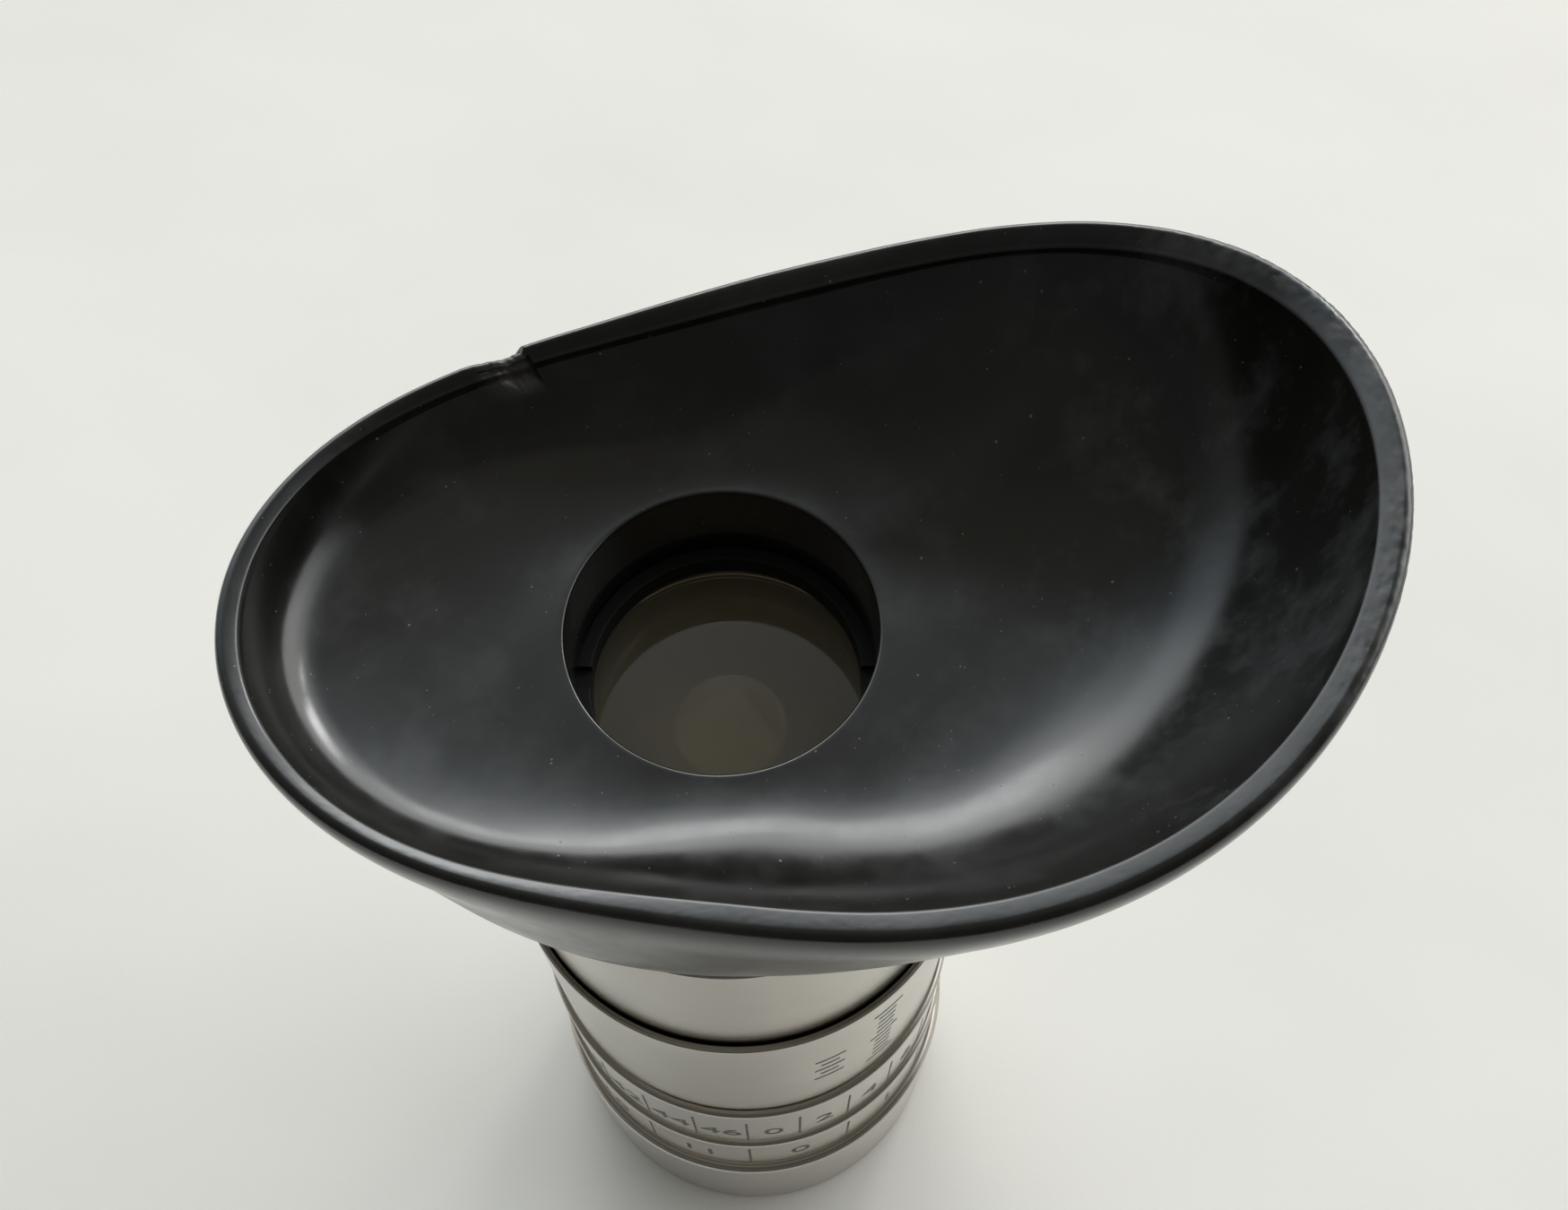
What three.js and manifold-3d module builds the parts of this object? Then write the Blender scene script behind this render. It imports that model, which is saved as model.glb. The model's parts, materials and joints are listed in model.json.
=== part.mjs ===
// A dioptre-adjustable telescope eyepiece for a 1.25 inch focuser, standing on its nosepiece.
//
// Millimetres, +Z up along the barrel's axis, with the origin at the middle of the nosepiece's lower end.
// -Y is the side towards the observer and the eyecup's broad temple side points along +X.
//
// Turning the focus ring screws the eye tube, with the lens cell and the eyecup on it, in and out of the
// fixed body tube. The numbered dial ring and the eyecup each turn by themselves, held by friction.

import * as THREE from 'three';
import { mergeVertices } from 'three/addons/utils/BufferGeometryUtils.js';
import Module from 'manifold-3d';

const wasm = await Module();
wasm.setup();

// ---------------------------------------------------------------- driving dimensions

const SEGMENTS = 32; // facets round every turned piece
const GAP = 0.2; // seam between neighbouring fixed pieces

// Clearances between neighbours.
const SNUG = 0.1;
const FREE = 0.15;
const LOOSE = 0.3;

// The outside of the barrel: radii and the heights of its seams.
const NOSE_RADIUS = 15.85;
const NOSE_TOP = 15.2;
const NOSE_CHAMFER = 0.4;
const LOWER_RADIUS = 15.2;
const LOWER_TOP = 24.1;
const DIAL_RADIUS = 14.83;
const DIAL_BASE = 24.4;
const DIAL_TOP = 34.2;
const RING_CHAMFER = 0.25;
const FOCUS_RADIUS = 14.38;
const FOCUS_BASE = 35.0;
const FOCUS_TOP = 53.3;
const FOCUS_CHAMFER = 0.12;
const COLLAR_RADIUS = 13.8;
const COLLAR_TOP = 68.2;
const COLLAR_CHAMFER = 0.2;

// The inside of the barrel.
const NOSE_BORE = 13.7;
const FILTER_THREAD_RADIUS = 14.1;
const FILTER_THREAD_DEPTH = 4;
const BAFFLE_BORE = 9.5;
const BAFFLE_BASE = 8;
const BAFFLE_TOP = 9;
const BODY_RADIUS = 12.1;
const BODY_BORE = 10.9;
const BODY_BASE = 11.8;
const BODY_TOP = 56;
const FLANGE_RADIUS = 14.0; // the bearing flange where it shows
const FLANGE_HUB = 13.75;
const FLANGE_TOP = 37.9;
const SCREW_GROOVE = 12.9;
const SCREW_GROOVE_HALF = 1.0;
const SPRING_RADIUS = 12.9;
const SPRING_BASE = 28;
const SPRING_TOP = 30.5;
const SPRING_GAP = 1.5;

// The helicoid: the nut turns with the focus ring and the sleeve slides in it, held by the key.
const SLEEVE_RADIUS = 13.1;
const SLEEVE_BORE = 12.3;
const SLEEVE_BASE = 40.6;
const SLEEVE_TOP = 58;
const NUT_BASE = 41;
const NUT_TOP = 46;
const COLLAR_BASE = 49;
const COLLAR_FLANGE_BASE = 66.4;
const KEY_WIDTH = 1.8;
const KEY_HEIGHT = 3;
const KEY_MIDDLE = 49;
const KEY_INNER = 11.2;
const KEY_OUTER = 12.2;
const FOCUS_TRAVEL = 2.5; // the eye tube moves this far each way

// Grub screws.
const SCREW_RADIUS = 0.8;
const SCREW_SLOT_DEPTH = 0.5;
const SCREW_SLOT_WIDTH = 0.35;
const LOWER_SCREW_HEIGHT = 19;
const FOCUS_SCREW_HEIGHT = 36.4;
const FOCUS_SCREW_INNER = 13.0;

// The reticle in its holder.
const FIELD_RADIUS = 8.2;
const HOLDER_BASE = 44;
const HOLDER_TOP = 50;
const HOLDER_RADIUS = BODY_BORE - FREE;
const FIELD_STOP_THICKNESS = 1;
const RETICLE_SEAT = 46;
const RETICLE_RADIUS = 9.3;
const RETICLE_THICKNESS = 1.5;

// The optics: two flints outside with flat outer faces, two crowns inside, and a spacer between them.
const CELL_RADIUS = 9.2;
const CELL_BORE = 7.8;
const CELL_BASE = 56.5;
const CELL_TOP = 74.6;
const CELL_FLANGE_RADIUS = 11.8;
const CELL_FLANGE_BASE = 64.6;
const CELL_FLANGE_TOP = 66.2;
const LENS_RADIUS = 7.7;
const CLEAR_RADIUS = 6.9;
const EYE_LENS_TOP = 73;
const FIELD_LENS_BASE = 58.7;
const FLINT_EDGE = 3.1; // a flint's thickness at its edge
const CROWN_EDGE = 0.9; // a crown's thickness at its edge
const CEMENTED_SAG = 1.5; // how far each crown bulges into its flint
const CROWN_SAG = 1.3; // the crown's inner face
const CEMENT = 0.06;
const SPACER_SEAT = 0.35; // the spacer stays this far from the crowns' edges, because their faces bulge
const NOTCH_WIDTH = 1.2; // a retaining ring's spanner notches
const NOTCH_DEPTH = 0.5;
const EYE_JOIN = EYE_LENS_TOP - FLINT_EDGE;
const EYE_CROWN_BASE = EYE_JOIN - CEMENT - CROWN_EDGE;
const FIELD_JOIN = FIELD_LENS_BASE + FLINT_EDGE;
const FIELD_CROWN_TOP = FIELD_JOIN + CEMENT + CROWN_EDGE;

// The snap ring that keeps the eyecup on the lens cell, and the eyecup's bush.
const SNAP_HEIGHT = 71.9;
const SNAP_HALF = 0.4;
const SNAP_RADIUS = 9.7;
const SNAP_GAP = 3;
const SNAP_GROOVE_RADIUS = 8.75;
const BUSH_RADIUS = 11.4;
const BUSH_BORE = 9.35;
const BUSH_GROOVE_RADIUS = 9.85;
const BUSH_TOP = 74.7;

// The eyecup.
const CUP_SEGMENTS = 40;
const OUTSIDE_STEPS = 6;
const COVE_STEPS = 4;
const FLOOR_STEPS = 3;
const CUP_BASE = 68.9;
const CUP_NECK = 13.7;
const CUP_FLOOR = 80;
const CUP_WALL = 1.8;
const LIP_ROUND = 1.1;
const LIP_SHOULDER = { inset: 0.2 * CUP_WALL, drop: 0.3 * LIP_ROUND };
const EYE_HOLE = 7.5;
const HOLE_ROUND = 0.2;
const HOLE_BEVEL = HOLE_ROUND / 4; // middle of the rounding, in from both its edges

// The rim seen from above is an egg, given by its mean radius and a few waves round it, about a point
// that lies towards the temple. Its broad end points along +X.
const RIM_CENTRE = 3.9;
const RIM_MEAN = 20.85;
const RIM_LEAN_X = 0.15;
const RIM_LEAN_Y = -0.5;
const RIM_OVAL = 4.16;
const RIM_OVAL_TURN = THREE.MathUtils.degToRad(4.1);
const RIM_EGG = -1;
const RIM_CORNERS = 0.4;
const RIM_CORNER_TURN = THREE.MathUtils.degToRad(10.2);
const RIM_FLATS = -0.21;

// The rim rises gently from the nose side and faster towards the temple.
const RIM_BASE_HEIGHT = 86.5;
const RIM_SLOPE = 0.16;
const RIM_SWEEP = 0.0044;

// The belly of the outside is a squarish oval.
const BELLY = { x: 1.4, z: 73, a: 19.8, b: 14.9, power: 2.2 };

// The knee, where the floor turns up into the wall, every 20 degrees from +X: how far it lies inwards of
// the lip, how high above the middle of the floor, and the least slope of the floor as it reaches the knee.
// It follows the wing up at the back of the broad end. The cove carries on at that slope for a share of
// the way to the lip before it turns up.
const KNEE_INSET = [5.7, 4.2, 2.2, 2.5, 2.4, 2.9, 3.7, 4.2, 3.2, 2.5, 2.8, 3.6, 4.3, 5, 5.6, 6.5, 7.6, 7.2];
const KNEE_RISE = [2.2, 4.2, 7.6, 5.8, 2.9, 1.5, 1.1, 1.1, 1.2, 1, 0.8, 0.7, 0.6, 0.6, 0.6, 0.7, 0.9, 1.3];
const KNEE_SLOPE = [
  0.36, 0.36, 0.36, 0.36, 0.36, 0.36, 0.36, 0.32, 0.24, 0.2, 0.2, 0.28, 0.36, 0.36, 0.36, 0.36, 0.36, 0.36,
];
const COVE_REACH = [
  0.75, 0.7, 0.6, 0.5, 0.38, 0.33, 0.33, 0.4, 0.65, 0.85, 0.85, 0.75, 0.75, 0.75, 0.75, 0.75, 0.75, 0.75,
];
const SWEEP_POWER = 1.4; // a steeper floor climbs towards the knee with at least about this power

// ---------------------------------------------------------------- materials

// Each call makes a new material, so that every piece has its own.
function finish(color, roughness, metalness) {
  return new THREE.MeshStandardMaterial({ color, roughness, metalness });
}

const nickel = () => finish(0xb9b3a8, 0.3, 1);
const brass = () => finish(0x7a6a45, 0.45, 1);
const steel = () => finish(0x8d8d8f, 0.35, 1);
const blackened = () => finish(0x17171a, 0.6, 0.6);
const hardRubber = () => finish(0x1b1b1c, 0.25, 0);
const glass = () => finish(0xcfe0dc, 0.02, 0);
const felt = () => finish(0x2c2926, 0.95, 0);

// ---------------------------------------------------------------- shape helpers

// Turns a profile of [radius, height] pairs, walked anticlockwise, about the Z axis.
function turned(profile, segments = SEGMENTS) {
  const points = profile.map(([radius, height]) => new THREE.Vector2(radius, height));
  const geometry = new THREE.LatheGeometry(points, segments);
  return geometry.rotateX(Math.PI / 2);
}

// A tube or a flat ring with square edges.
function ring(inner, outer, base, top) {
  return turned([[inner, base], [outer, base], [outer, top], [inner, top], [inner, base]]);
}

// A ring whose two outer edges are broken by a small chamfer.
function chamferedRing(inner, outer, base, top, chamfer) {
  return turned([
    [inner, base],
    [outer - chamfer, base],
    [outer, base + chamfer],
    [outer, top - chamfer],
    [outer - chamfer, top],
    [inner, top],
    [inner, base],
  ]);
}

// The arc of a lens face from the axis out to the edge: sag is how far the middle stands above the edge.
function lensFace(edgeHeight, sag, steps = 4) {
  const face = [];
  for (let i = 0; i <= steps; i += 1) {
    const share = i / steps;
    face.push([LENS_RADIUS * share, edgeHeight + sag * (1 - share * share)]);
  }
  return face;
}

function lens(lowerEdge, lowerSag, upperEdge, upperSag) {
  const lower = lensFace(lowerEdge, lowerSag);
  const upper = lensFace(upperEdge, upperSag).reverse();
  return turned([...lower, ...upper]);
}

function solidOf(geometry) {
  const bare = geometry.clone();
  bare.deleteAttribute('normal');
  bare.deleteAttribute('uv');
  const merged = mergeVertices(bare);
  const mesh = new wasm.Mesh({
    numProp: 3,
    vertProperties: merged.attributes.position.array,
    triVerts: Uint32Array.from(merged.index.array),
  });
  return new wasm.Manifold(mesh);
}

function cut(geometry, ...tools) {
  let solid = solidOf(geometry);
  for (const tool of tools) solid = solid.subtract(solidOf(tool));
  const mesh = solid.getMesh();
  const result = new THREE.BufferGeometry();
  result.setAttribute('position', new THREE.BufferAttribute(mesh.vertProperties, 3));
  result.setIndex(new THREE.BufferAttribute(mesh.triVerts, 1));
  return result;
}

// A box by its middle and its size.
function block(x, y, z, width, depth, height) {
  return new THREE.BoxGeometry(width, depth, height).translate(x, y, z);
}

// A rod along +X, from one distance off the axis to another.
function radialRod(radius, from, to, height, sides = 12) {
  const rod = new THREE.CylinderGeometry(radius, radius, to - from, sides);
  return rod.rotateZ(Math.PI / 2).translate((from + to) / 2, 0, height);
}

// A headless screw lying along +X, with a screwdriver slot in its outer end.
function grubScrew(radius, from, to, height) {
  const slot = block(to, 0, height, 2 * SCREW_SLOT_DEPTH, 3 * radius, SCREW_SLOT_WIDTH);
  return cut(radialRod(radius, from, to, height), slot);
}

// A ring cut by a gap in its back, as springs and snap rings are.
function splitRing(inner, outer, base, top, gap) {
  const opening = block(0, outer, (base + top) / 2, gap, 2 * outer - inner, 2 * (top - base));
  return cut(ring(inner, outer, base, top), opening);
}

// A retaining ring with two opposite notches across one face, for a spanner.
function retainer(base, top, face) {
  const notches = block(0, 0, face, 3 * LENS_RADIUS, NOTCH_WIDTH, 2 * NOTCH_DEPTH);
  return cut(ring(CLEAR_RADIUS, LENS_RADIUS, base, top), notches);
}

// Cuts the two opposite screw holes of a ring.
function withScrewHoles(geometry, height) {
  const hole = radialRod(SCREW_RADIUS + SNUG, -2 * NOSE_RADIUS, 2 * NOSE_RADIUS, height);
  return cut(geometry, hole);
}

// ---------------------------------------------------------------- fixed barrel

function nosepiece() {
  const shoulder = BODY_BASE - GAP;
  const socket = BODY_RADIUS + SNUG;
  return turned([
    [FILTER_THREAD_RADIUS, 0],
    [NOSE_RADIUS - NOSE_CHAMFER, 0],
    [NOSE_RADIUS, NOSE_CHAMFER],
    [NOSE_RADIUS, NOSE_TOP - NOSE_CHAMFER],
    [NOSE_RADIUS - NOSE_CHAMFER, NOSE_TOP],
    [socket, NOSE_TOP],
    [socket, shoulder],
    [NOSE_BORE, shoulder],
    [NOSE_BORE, FILTER_THREAD_DEPTH],
    [FILTER_THREAD_RADIUS, FILTER_THREAD_DEPTH],
    [FILTER_THREAD_RADIUS, 0],
  ]);
}

function lowerSleeve() {
  const sleeve = chamferedRing(BODY_RADIUS + GAP, LOWER_RADIUS, NOSE_TOP + GAP, LOWER_TOP, RING_CHAMFER);
  return withScrewHoles(sleeve, LOWER_SCREW_HEIGHT);
}

// The body tube has a straight slot in its back, where the eye tube's guide key runs.
function bodyTube() {
  const endRoom = 1;
  const slotLength = KEY_HEIGHT + 2 * (FOCUS_TRAVEL + endRoom);
  const wall = (BODY_RADIUS + BODY_BORE) / 2;
  const through = 3 * (BODY_RADIUS - BODY_BORE);
  const slot = block(0, wall, KEY_MIDDLE, KEY_WIDTH + 2 * GAP, through, slotLength);
  return cut(ring(BODY_BORE, BODY_RADIUS, BODY_BASE, BODY_TOP), slot);
}

// The bearing flange shows as the recessed line under the focus ring. The focus screws run in its groove.
function bearingFlange() {
  const inner = BODY_RADIUS + SNUG;
  const base = DIAL_TOP + FREE;
  const step = FOCUS_BASE - SNUG;
  const grooveBase = FOCUS_SCREW_HEIGHT - SCREW_GROOVE_HALF;
  const grooveTop = FOCUS_SCREW_HEIGHT + SCREW_GROOVE_HALF;
  return turned([
    [inner, base],
    [FLANGE_RADIUS, base],
    [FLANGE_RADIUS, step],
    [FLANGE_HUB, step],
    [FLANGE_HUB, grooveBase],
    [SCREW_GROOVE, grooveBase],
    [SCREW_GROOVE, grooveTop],
    [FLANGE_HUB, grooveTop],
    [FLANGE_HUB, FLANGE_TOP],
    [inner, FLANGE_TOP],
    [inner, base],
  ]);
}

function reticleHolder() {
  const seatRadius = RETICLE_RADIUS + FREE;
  return turned([
    [FIELD_RADIUS, HOLDER_BASE],
    [HOLDER_RADIUS, HOLDER_BASE],
    [HOLDER_RADIUS, HOLDER_TOP],
    [seatRadius, HOLDER_TOP],
    [seatRadius, RETICLE_SEAT],
    [FIELD_RADIUS, RETICLE_SEAT],
    [FIELD_RADIUS, HOLDER_BASE],
  ]);
}

function reticle() {
  const base = RETICLE_SEAT + SNUG;
  const top = base + RETICLE_THICKNESS;
  return turned([[0, base], [RETICLE_RADIUS, base], [RETICLE_RADIUS, top], [0, top]]);
}

// ---------------------------------------------------------------- focus ring and dial

function focusRing() {
  const bore = COLLAR_RADIUS + FREE;
  const ringBody = chamferedRing(bore, FOCUS_RADIUS, FOCUS_BASE, FOCUS_TOP, FOCUS_CHAMFER);
  return withScrewHoles(ringBody, FOCUS_SCREW_HEIGHT);
}

function dialRing() {
  const bore = BODY_RADIUS + FREE + SNUG;
  const grooveRadius = SPRING_RADIUS + GAP;
  return turned([
    [bore, DIAL_BASE],
    [DIAL_RADIUS - RING_CHAMFER, DIAL_BASE],
    [DIAL_RADIUS, DIAL_BASE + RING_CHAMFER],
    [DIAL_RADIUS, DIAL_TOP - RING_CHAMFER],
    [DIAL_RADIUS - RING_CHAMFER, DIAL_TOP],
    [bore, DIAL_TOP],
    [bore, SPRING_TOP + GAP],
    [grooveRadius, SPRING_TOP + GAP],
    [grooveRadius, SPRING_BASE - GAP],
    [bore, SPRING_BASE - GAP],
    [bore, DIAL_BASE],
  ]);
}

// ---------------------------------------------------------------- eye tube and lens cell

function collar() {
  const bore = SLEEVE_RADIUS + SNUG;
  const flangeBore = CELL_RADIUS + SNUG;
  return turned([
    [bore, COLLAR_BASE],
    [COLLAR_RADIUS, COLLAR_BASE],
    [COLLAR_RADIUS, COLLAR_TOP - COLLAR_CHAMFER],
    [COLLAR_RADIUS - COLLAR_CHAMFER, COLLAR_TOP],
    [flangeBore, COLLAR_TOP],
    [flangeBore, COLLAR_FLANGE_BASE],
    [bore, COLLAR_FLANGE_BASE],
    [bore, COLLAR_BASE],
  ]);
}

// The key is held in the helicoid sleeve and reaches into the body tube's slot.
function guideKey() {
  const middle = (KEY_INNER + KEY_OUTER) / 2;
  return block(0, middle, KEY_MIDDLE, KEY_WIDTH, KEY_OUTER - KEY_INNER, KEY_HEIGHT);
}

function lensCell() {
  const grooveHalf = SNAP_HALF + SNUG;
  return turned([
    [CELL_BORE, CELL_BASE],
    [CELL_RADIUS, CELL_BASE],
    [CELL_RADIUS, CELL_FLANGE_BASE],
    [CELL_FLANGE_RADIUS, CELL_FLANGE_BASE],
    [CELL_FLANGE_RADIUS, CELL_FLANGE_TOP],
    [CELL_RADIUS, CELL_FLANGE_TOP],
    [CELL_RADIUS, SNAP_HEIGHT - grooveHalf],
    [SNAP_GROOVE_RADIUS, SNAP_HEIGHT - grooveHalf],
    [SNAP_GROOVE_RADIUS, SNAP_HEIGHT + grooveHalf],
    [CELL_RADIUS, SNAP_HEIGHT + grooveHalf],
    [CELL_RADIUS, CELL_TOP],
    [CELL_BORE, CELL_TOP],
    [CELL_BORE, CELL_BASE],
  ]);
}

// ---------------------------------------------------------------- eyecup

function rimRadius(angle) {
  const oval = RIM_OVAL * Math.cos(2 * (angle - RIM_OVAL_TURN));
  const egg = RIM_EGG * Math.cos(3 * angle);
  const corners = RIM_CORNERS * Math.cos(4 * (angle - RIM_CORNER_TURN));
  const flats = RIM_FLATS * Math.cos(5 * angle);
  const lean = RIM_LEAN_X * Math.cos(angle) + RIM_LEAN_Y * Math.sin(angle);
  return RIM_MEAN + oval + egg + corners + flats + lean;
}

const rimHeight = (x) => RIM_BASE_HEIGHT + RIM_SLOPE * x + RIM_SWEEP * x * x;

// A point near the rim, so far inwards of it and below it.
function rimPoint(angle, inset, drop) {
  const radius = rimRadius(angle) - inset;
  const x = RIM_CENTRE + radius * Math.cos(angle);
  return new THREE.Vector3(x, radius * Math.sin(angle), rimHeight(x) - drop);
}

// A point on a squarish oval, given by its middle, its two half widths and how square it is.
function ovalPoint(angle, { x, z, a, b, power }) {
  const c = Math.cos(angle);
  const s = Math.sin(angle);
  const u = a * Math.sign(c) * Math.abs(c) ** (2 / power);
  const v = b * Math.sign(s) * Math.abs(s) ** (2 / power);
  return new THREE.Vector3(x + u, v, z);
}

// A value that varies smoothly round the cup, from stations at even steps starting at +X.
function around(stations, angle) {
  const count = stations.length;
  const place = ((angle / (2 * Math.PI)) * count) % count;
  const first = Math.floor(place);
  const f = place - first;
  const weights = [(1 - f) ** 3, 3 * f ** 3 - 6 * f ** 2 + 4, -3 * f ** 3 + 3 * f ** 2 + 3 * f + 1, f ** 3];
  const near = weights.map((weight, i) => (weight * stations[(first + i - 1 + count) % count]) / 6);
  return near.reduce((sum, value) => sum + value);
}

const circlePoint = (angle, radius, height) =>
  new THREE.Vector3(radius * Math.cos(angle), radius * Math.sin(angle), height);

// The section of the cup at one angle, as a closed loop of points from the base round the outside,
// over the lip, down the inside, across the floor and down through the eye hole.
function cupSection(angle) {
  const neck = circlePoint(angle, CUP_NECK, CUP_BASE);
  const belly = ovalPoint(angle, BELLY);
  const outerEdge = rimPoint(angle, 0, LIP_ROUND);
  const innerEdge = rimPoint(angle, CUP_WALL, LIP_ROUND);
  const rise = around(KNEE_RISE, angle);
  const knee = rimPoint(angle, CUP_WALL + around(KNEE_INSET, angle), 0).setZ(CUP_FLOOR + rise);
  const bearing = Math.atan2(knee.y, knee.x); // the floor runs straight from the eye hole to the knee
  const holeEdge = circlePoint(bearing, EYE_HOLE + HOLE_ROUND, CUP_FLOOR);
  const run = Math.hypot(knee.x - holeEdge.x, knee.y - holeEdge.y);
  const slope = Math.hypot(around(KNEE_SLOPE, angle), (SWEEP_POWER * rise) / run);
  const cove = knee.clone().lerp(innerEdge, around(COVE_REACH, angle));
  cove.setZ(knee.z + slope * Math.hypot(cove.x - knee.x, cove.y - knee.y));
  const outside = new THREE.CatmullRomCurve3([neck, belly, outerEdge]).getPoints(OUTSIDE_STEPS);
  const inside = new THREE.QuadraticBezierCurve3(innerEdge, cove, knee).getPoints(COVE_STEPS);
  const floor = [];
  for (let i = FLOOR_STEPS - 1; i > 0; i -= 1) {
    const share = i / FLOOR_STEPS;
    floor.push(holeEdge.clone().lerp(knee, share).setZ(CUP_FLOOR + rise * share ** ((slope * run) / rise)));
  }
  const lip = [
    rimPoint(angle, LIP_SHOULDER.inset, LIP_SHOULDER.drop),
    rimPoint(angle, CUP_WALL / 2, 0),
    rimPoint(angle, CUP_WALL - LIP_SHOULDER.inset, LIP_SHOULDER.drop),
  ];
  const hole = [
    holeEdge,
    circlePoint(bearing, EYE_HOLE + HOLE_BEVEL, CUP_FLOOR - HOLE_BEVEL),
    circlePoint(bearing, EYE_HOLE, CUP_FLOOR - HOLE_ROUND),
    circlePoint(bearing, EYE_HOLE, BUSH_TOP + GAP),
    circlePoint(angle, BUSH_RADIUS + FREE, BUSH_TOP + GAP),
    circlePoint(angle, BUSH_RADIUS + FREE, CUP_BASE),
  ];
  return [...outside, ...lip, ...inside, ...floor, ...hole, neck];
}

// A lathe gives the closed grid of points round the cup, and each column of it takes its own section.
function eyecup() {
  const stations = cupSection(0).length;
  const blank = Array.from({ length: stations }, (_, i) => new THREE.Vector2(1, i));
  const geometry = new THREE.LatheGeometry(blank, CUP_SEGMENTS);
  const positions = geometry.attributes.position;
  for (let column = 0; column <= CUP_SEGMENTS; column += 1) {
    const angle = (2 * Math.PI * (column % CUP_SEGMENTS)) / CUP_SEGMENTS;
    cupSection(angle).forEach((point, row) => {
      positions.setXYZ(column * stations + row, point.x, point.y, point.z);
    });
  }
  return geometry;
}

function cupBush() {
  const base = CUP_BASE + SNUG;
  const grooveHalf = SNAP_HALF + FREE;
  return turned([
    [BUSH_BORE, base],
    [BUSH_RADIUS, base],
    [BUSH_RADIUS, BUSH_TOP],
    [BUSH_BORE, BUSH_TOP],
    [BUSH_BORE, SNAP_HEIGHT + grooveHalf],
    [BUSH_GROOVE_RADIUS, SNAP_HEIGHT + grooveHalf],
    [BUSH_GROOVE_RADIUS, SNAP_HEIGHT - grooveHalf],
    [BUSH_BORE, SNAP_HEIGHT - grooveHalf],
    [BUSH_BORE, base],
  ]);
}

// ---------------------------------------------------------------- assembly

const group = new THREE.Group();

function add(name, geometry, material) {
  const mesh = new THREE.Mesh(geometry, material());
  mesh.name = name;
  group.add(mesh);
}

// Adds a pair of screws on opposite sides of the barrel.
function addScrews(name, height, from, to) {
  for (const [suffix, turn] of [['a', 0], ['b', Math.PI]]) {
    const screw = grubScrew(SCREW_RADIUS, from, to, height).rotateZ(turn);
    add(`${name}_${suffix}`, screw, steel);
  }
}

// Barrel.
add('nosepiece', nosepiece(), nickel);
add('baffle', ring(BAFFLE_BORE, NOSE_BORE - FREE, BAFFLE_BASE, BAFFLE_TOP), blackened);
add('lower_sleeve', lowerSleeve(), nickel);
addScrews('lower_screw', LOWER_SCREW_HEIGHT, BODY_RADIUS + LOOSE, LOWER_RADIUS - FREE);
add('body_tube', bodyTube(), blackened);
add('bearing_flange', bearingFlange(), brass);
const spring = splitRing(BODY_RADIUS + FREE, SPRING_RADIUS, SPRING_BASE, SPRING_TOP, SPRING_GAP);
add('friction_spring', spring, steel);
const stopTop = HOLDER_BASE - GAP;
add('field_stop', ring(CLEAR_RADIUS, HOLDER_RADIUS, stopTop - FIELD_STOP_THICKNESS, stopTop), blackened);
add('reticle_holder', reticleHolder(), blackened);
add('reticle', reticle(), glass);
const reticleTop = RETICLE_SEAT + SNUG + RETICLE_THICKNESS;
add('reticle_retainer', ring(FIELD_RADIUS, RETICLE_RADIUS, reticleTop + SNUG, HOLDER_TOP - LOOSE), brass);

// Dial.
add('dial_ring', dialRing(), nickel);

// Focus ring with its nut.
add('focus_ring', focusRing(), nickel);
add('helicoid_nut', ring(SLEEVE_RADIUS + SNUG, COLLAR_RADIUS, NUT_BASE, NUT_TOP), brass);
addScrews('focus_screw', FOCUS_SCREW_HEIGHT, FOCUS_SCREW_INNER, FOCUS_RADIUS - SNUG);

// Eye tube with the lens cell.
add('collar', collar(), nickel);
add('helicoid_sleeve', ring(SLEEVE_BORE, SLEEVE_RADIUS, SLEEVE_BASE, SLEEVE_TOP), brass);
add('guide_key', guideKey(), steel);
add('lens_cell', lensCell(), blackened);
const eyeRetainerTop = CELL_TOP - GAP;
add('eye_retainer', retainer(EYE_LENS_TOP + SNUG, eyeRetainerTop, eyeRetainerTop), blackened);
add('eye_flint', lens(EYE_JOIN, CEMENTED_SAG, EYE_LENS_TOP, 0), glass);
add('eye_crown', lens(EYE_CROWN_BASE, -CROWN_SAG, EYE_JOIN - CEMENT, CEMENTED_SAG), glass);
const spacer = ring(CLEAR_RADIUS, LENS_RADIUS, FIELD_CROWN_TOP + SPACER_SEAT, EYE_CROWN_BASE - SPACER_SEAT);
add('lens_spacer', spacer, blackened);
add('field_crown', lens(FIELD_JOIN + CEMENT, -CEMENTED_SAG, FIELD_CROWN_TOP, CROWN_SAG), glass);
add('field_flint', lens(FIELD_LENS_BASE, 0, FIELD_JOIN, -CEMENTED_SAG), glass);
const fieldRetainerBase = CELL_BASE + GAP;
add('field_retainer', retainer(fieldRetainerBase, FIELD_LENS_BASE - SNUG, fieldRetainerBase), blackened);
add('cup_washer', ring(CELL_RADIUS + LOOSE, CUP_NECK - GAP, COLLAR_TOP + SNUG, CUP_BASE - SNUG), felt);
const snapBase = SNAP_HEIGHT - SNAP_HALF;
const snapTop = SNAP_HEIGHT + SNAP_HALF;
add('snap_ring', splitRing(SNAP_GROOVE_RADIUS + SNUG, SNAP_RADIUS, snapBase, snapTop, SNAP_GAP), steel);

// Eyecup.
add('eyecup', eyecup(), hardRubber);
add('cup_bush', cupBush(), brass);

export default group;
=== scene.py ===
"""The looks of a telescope eyepiece: turned and plated rings, an engraved dial, lenses and a polished eyecup.

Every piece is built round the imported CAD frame, with +Z up the barrel's axis. Blender works in metres;
the helpers below take millimetres and scale by MM.
"""
import json
import math

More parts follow.
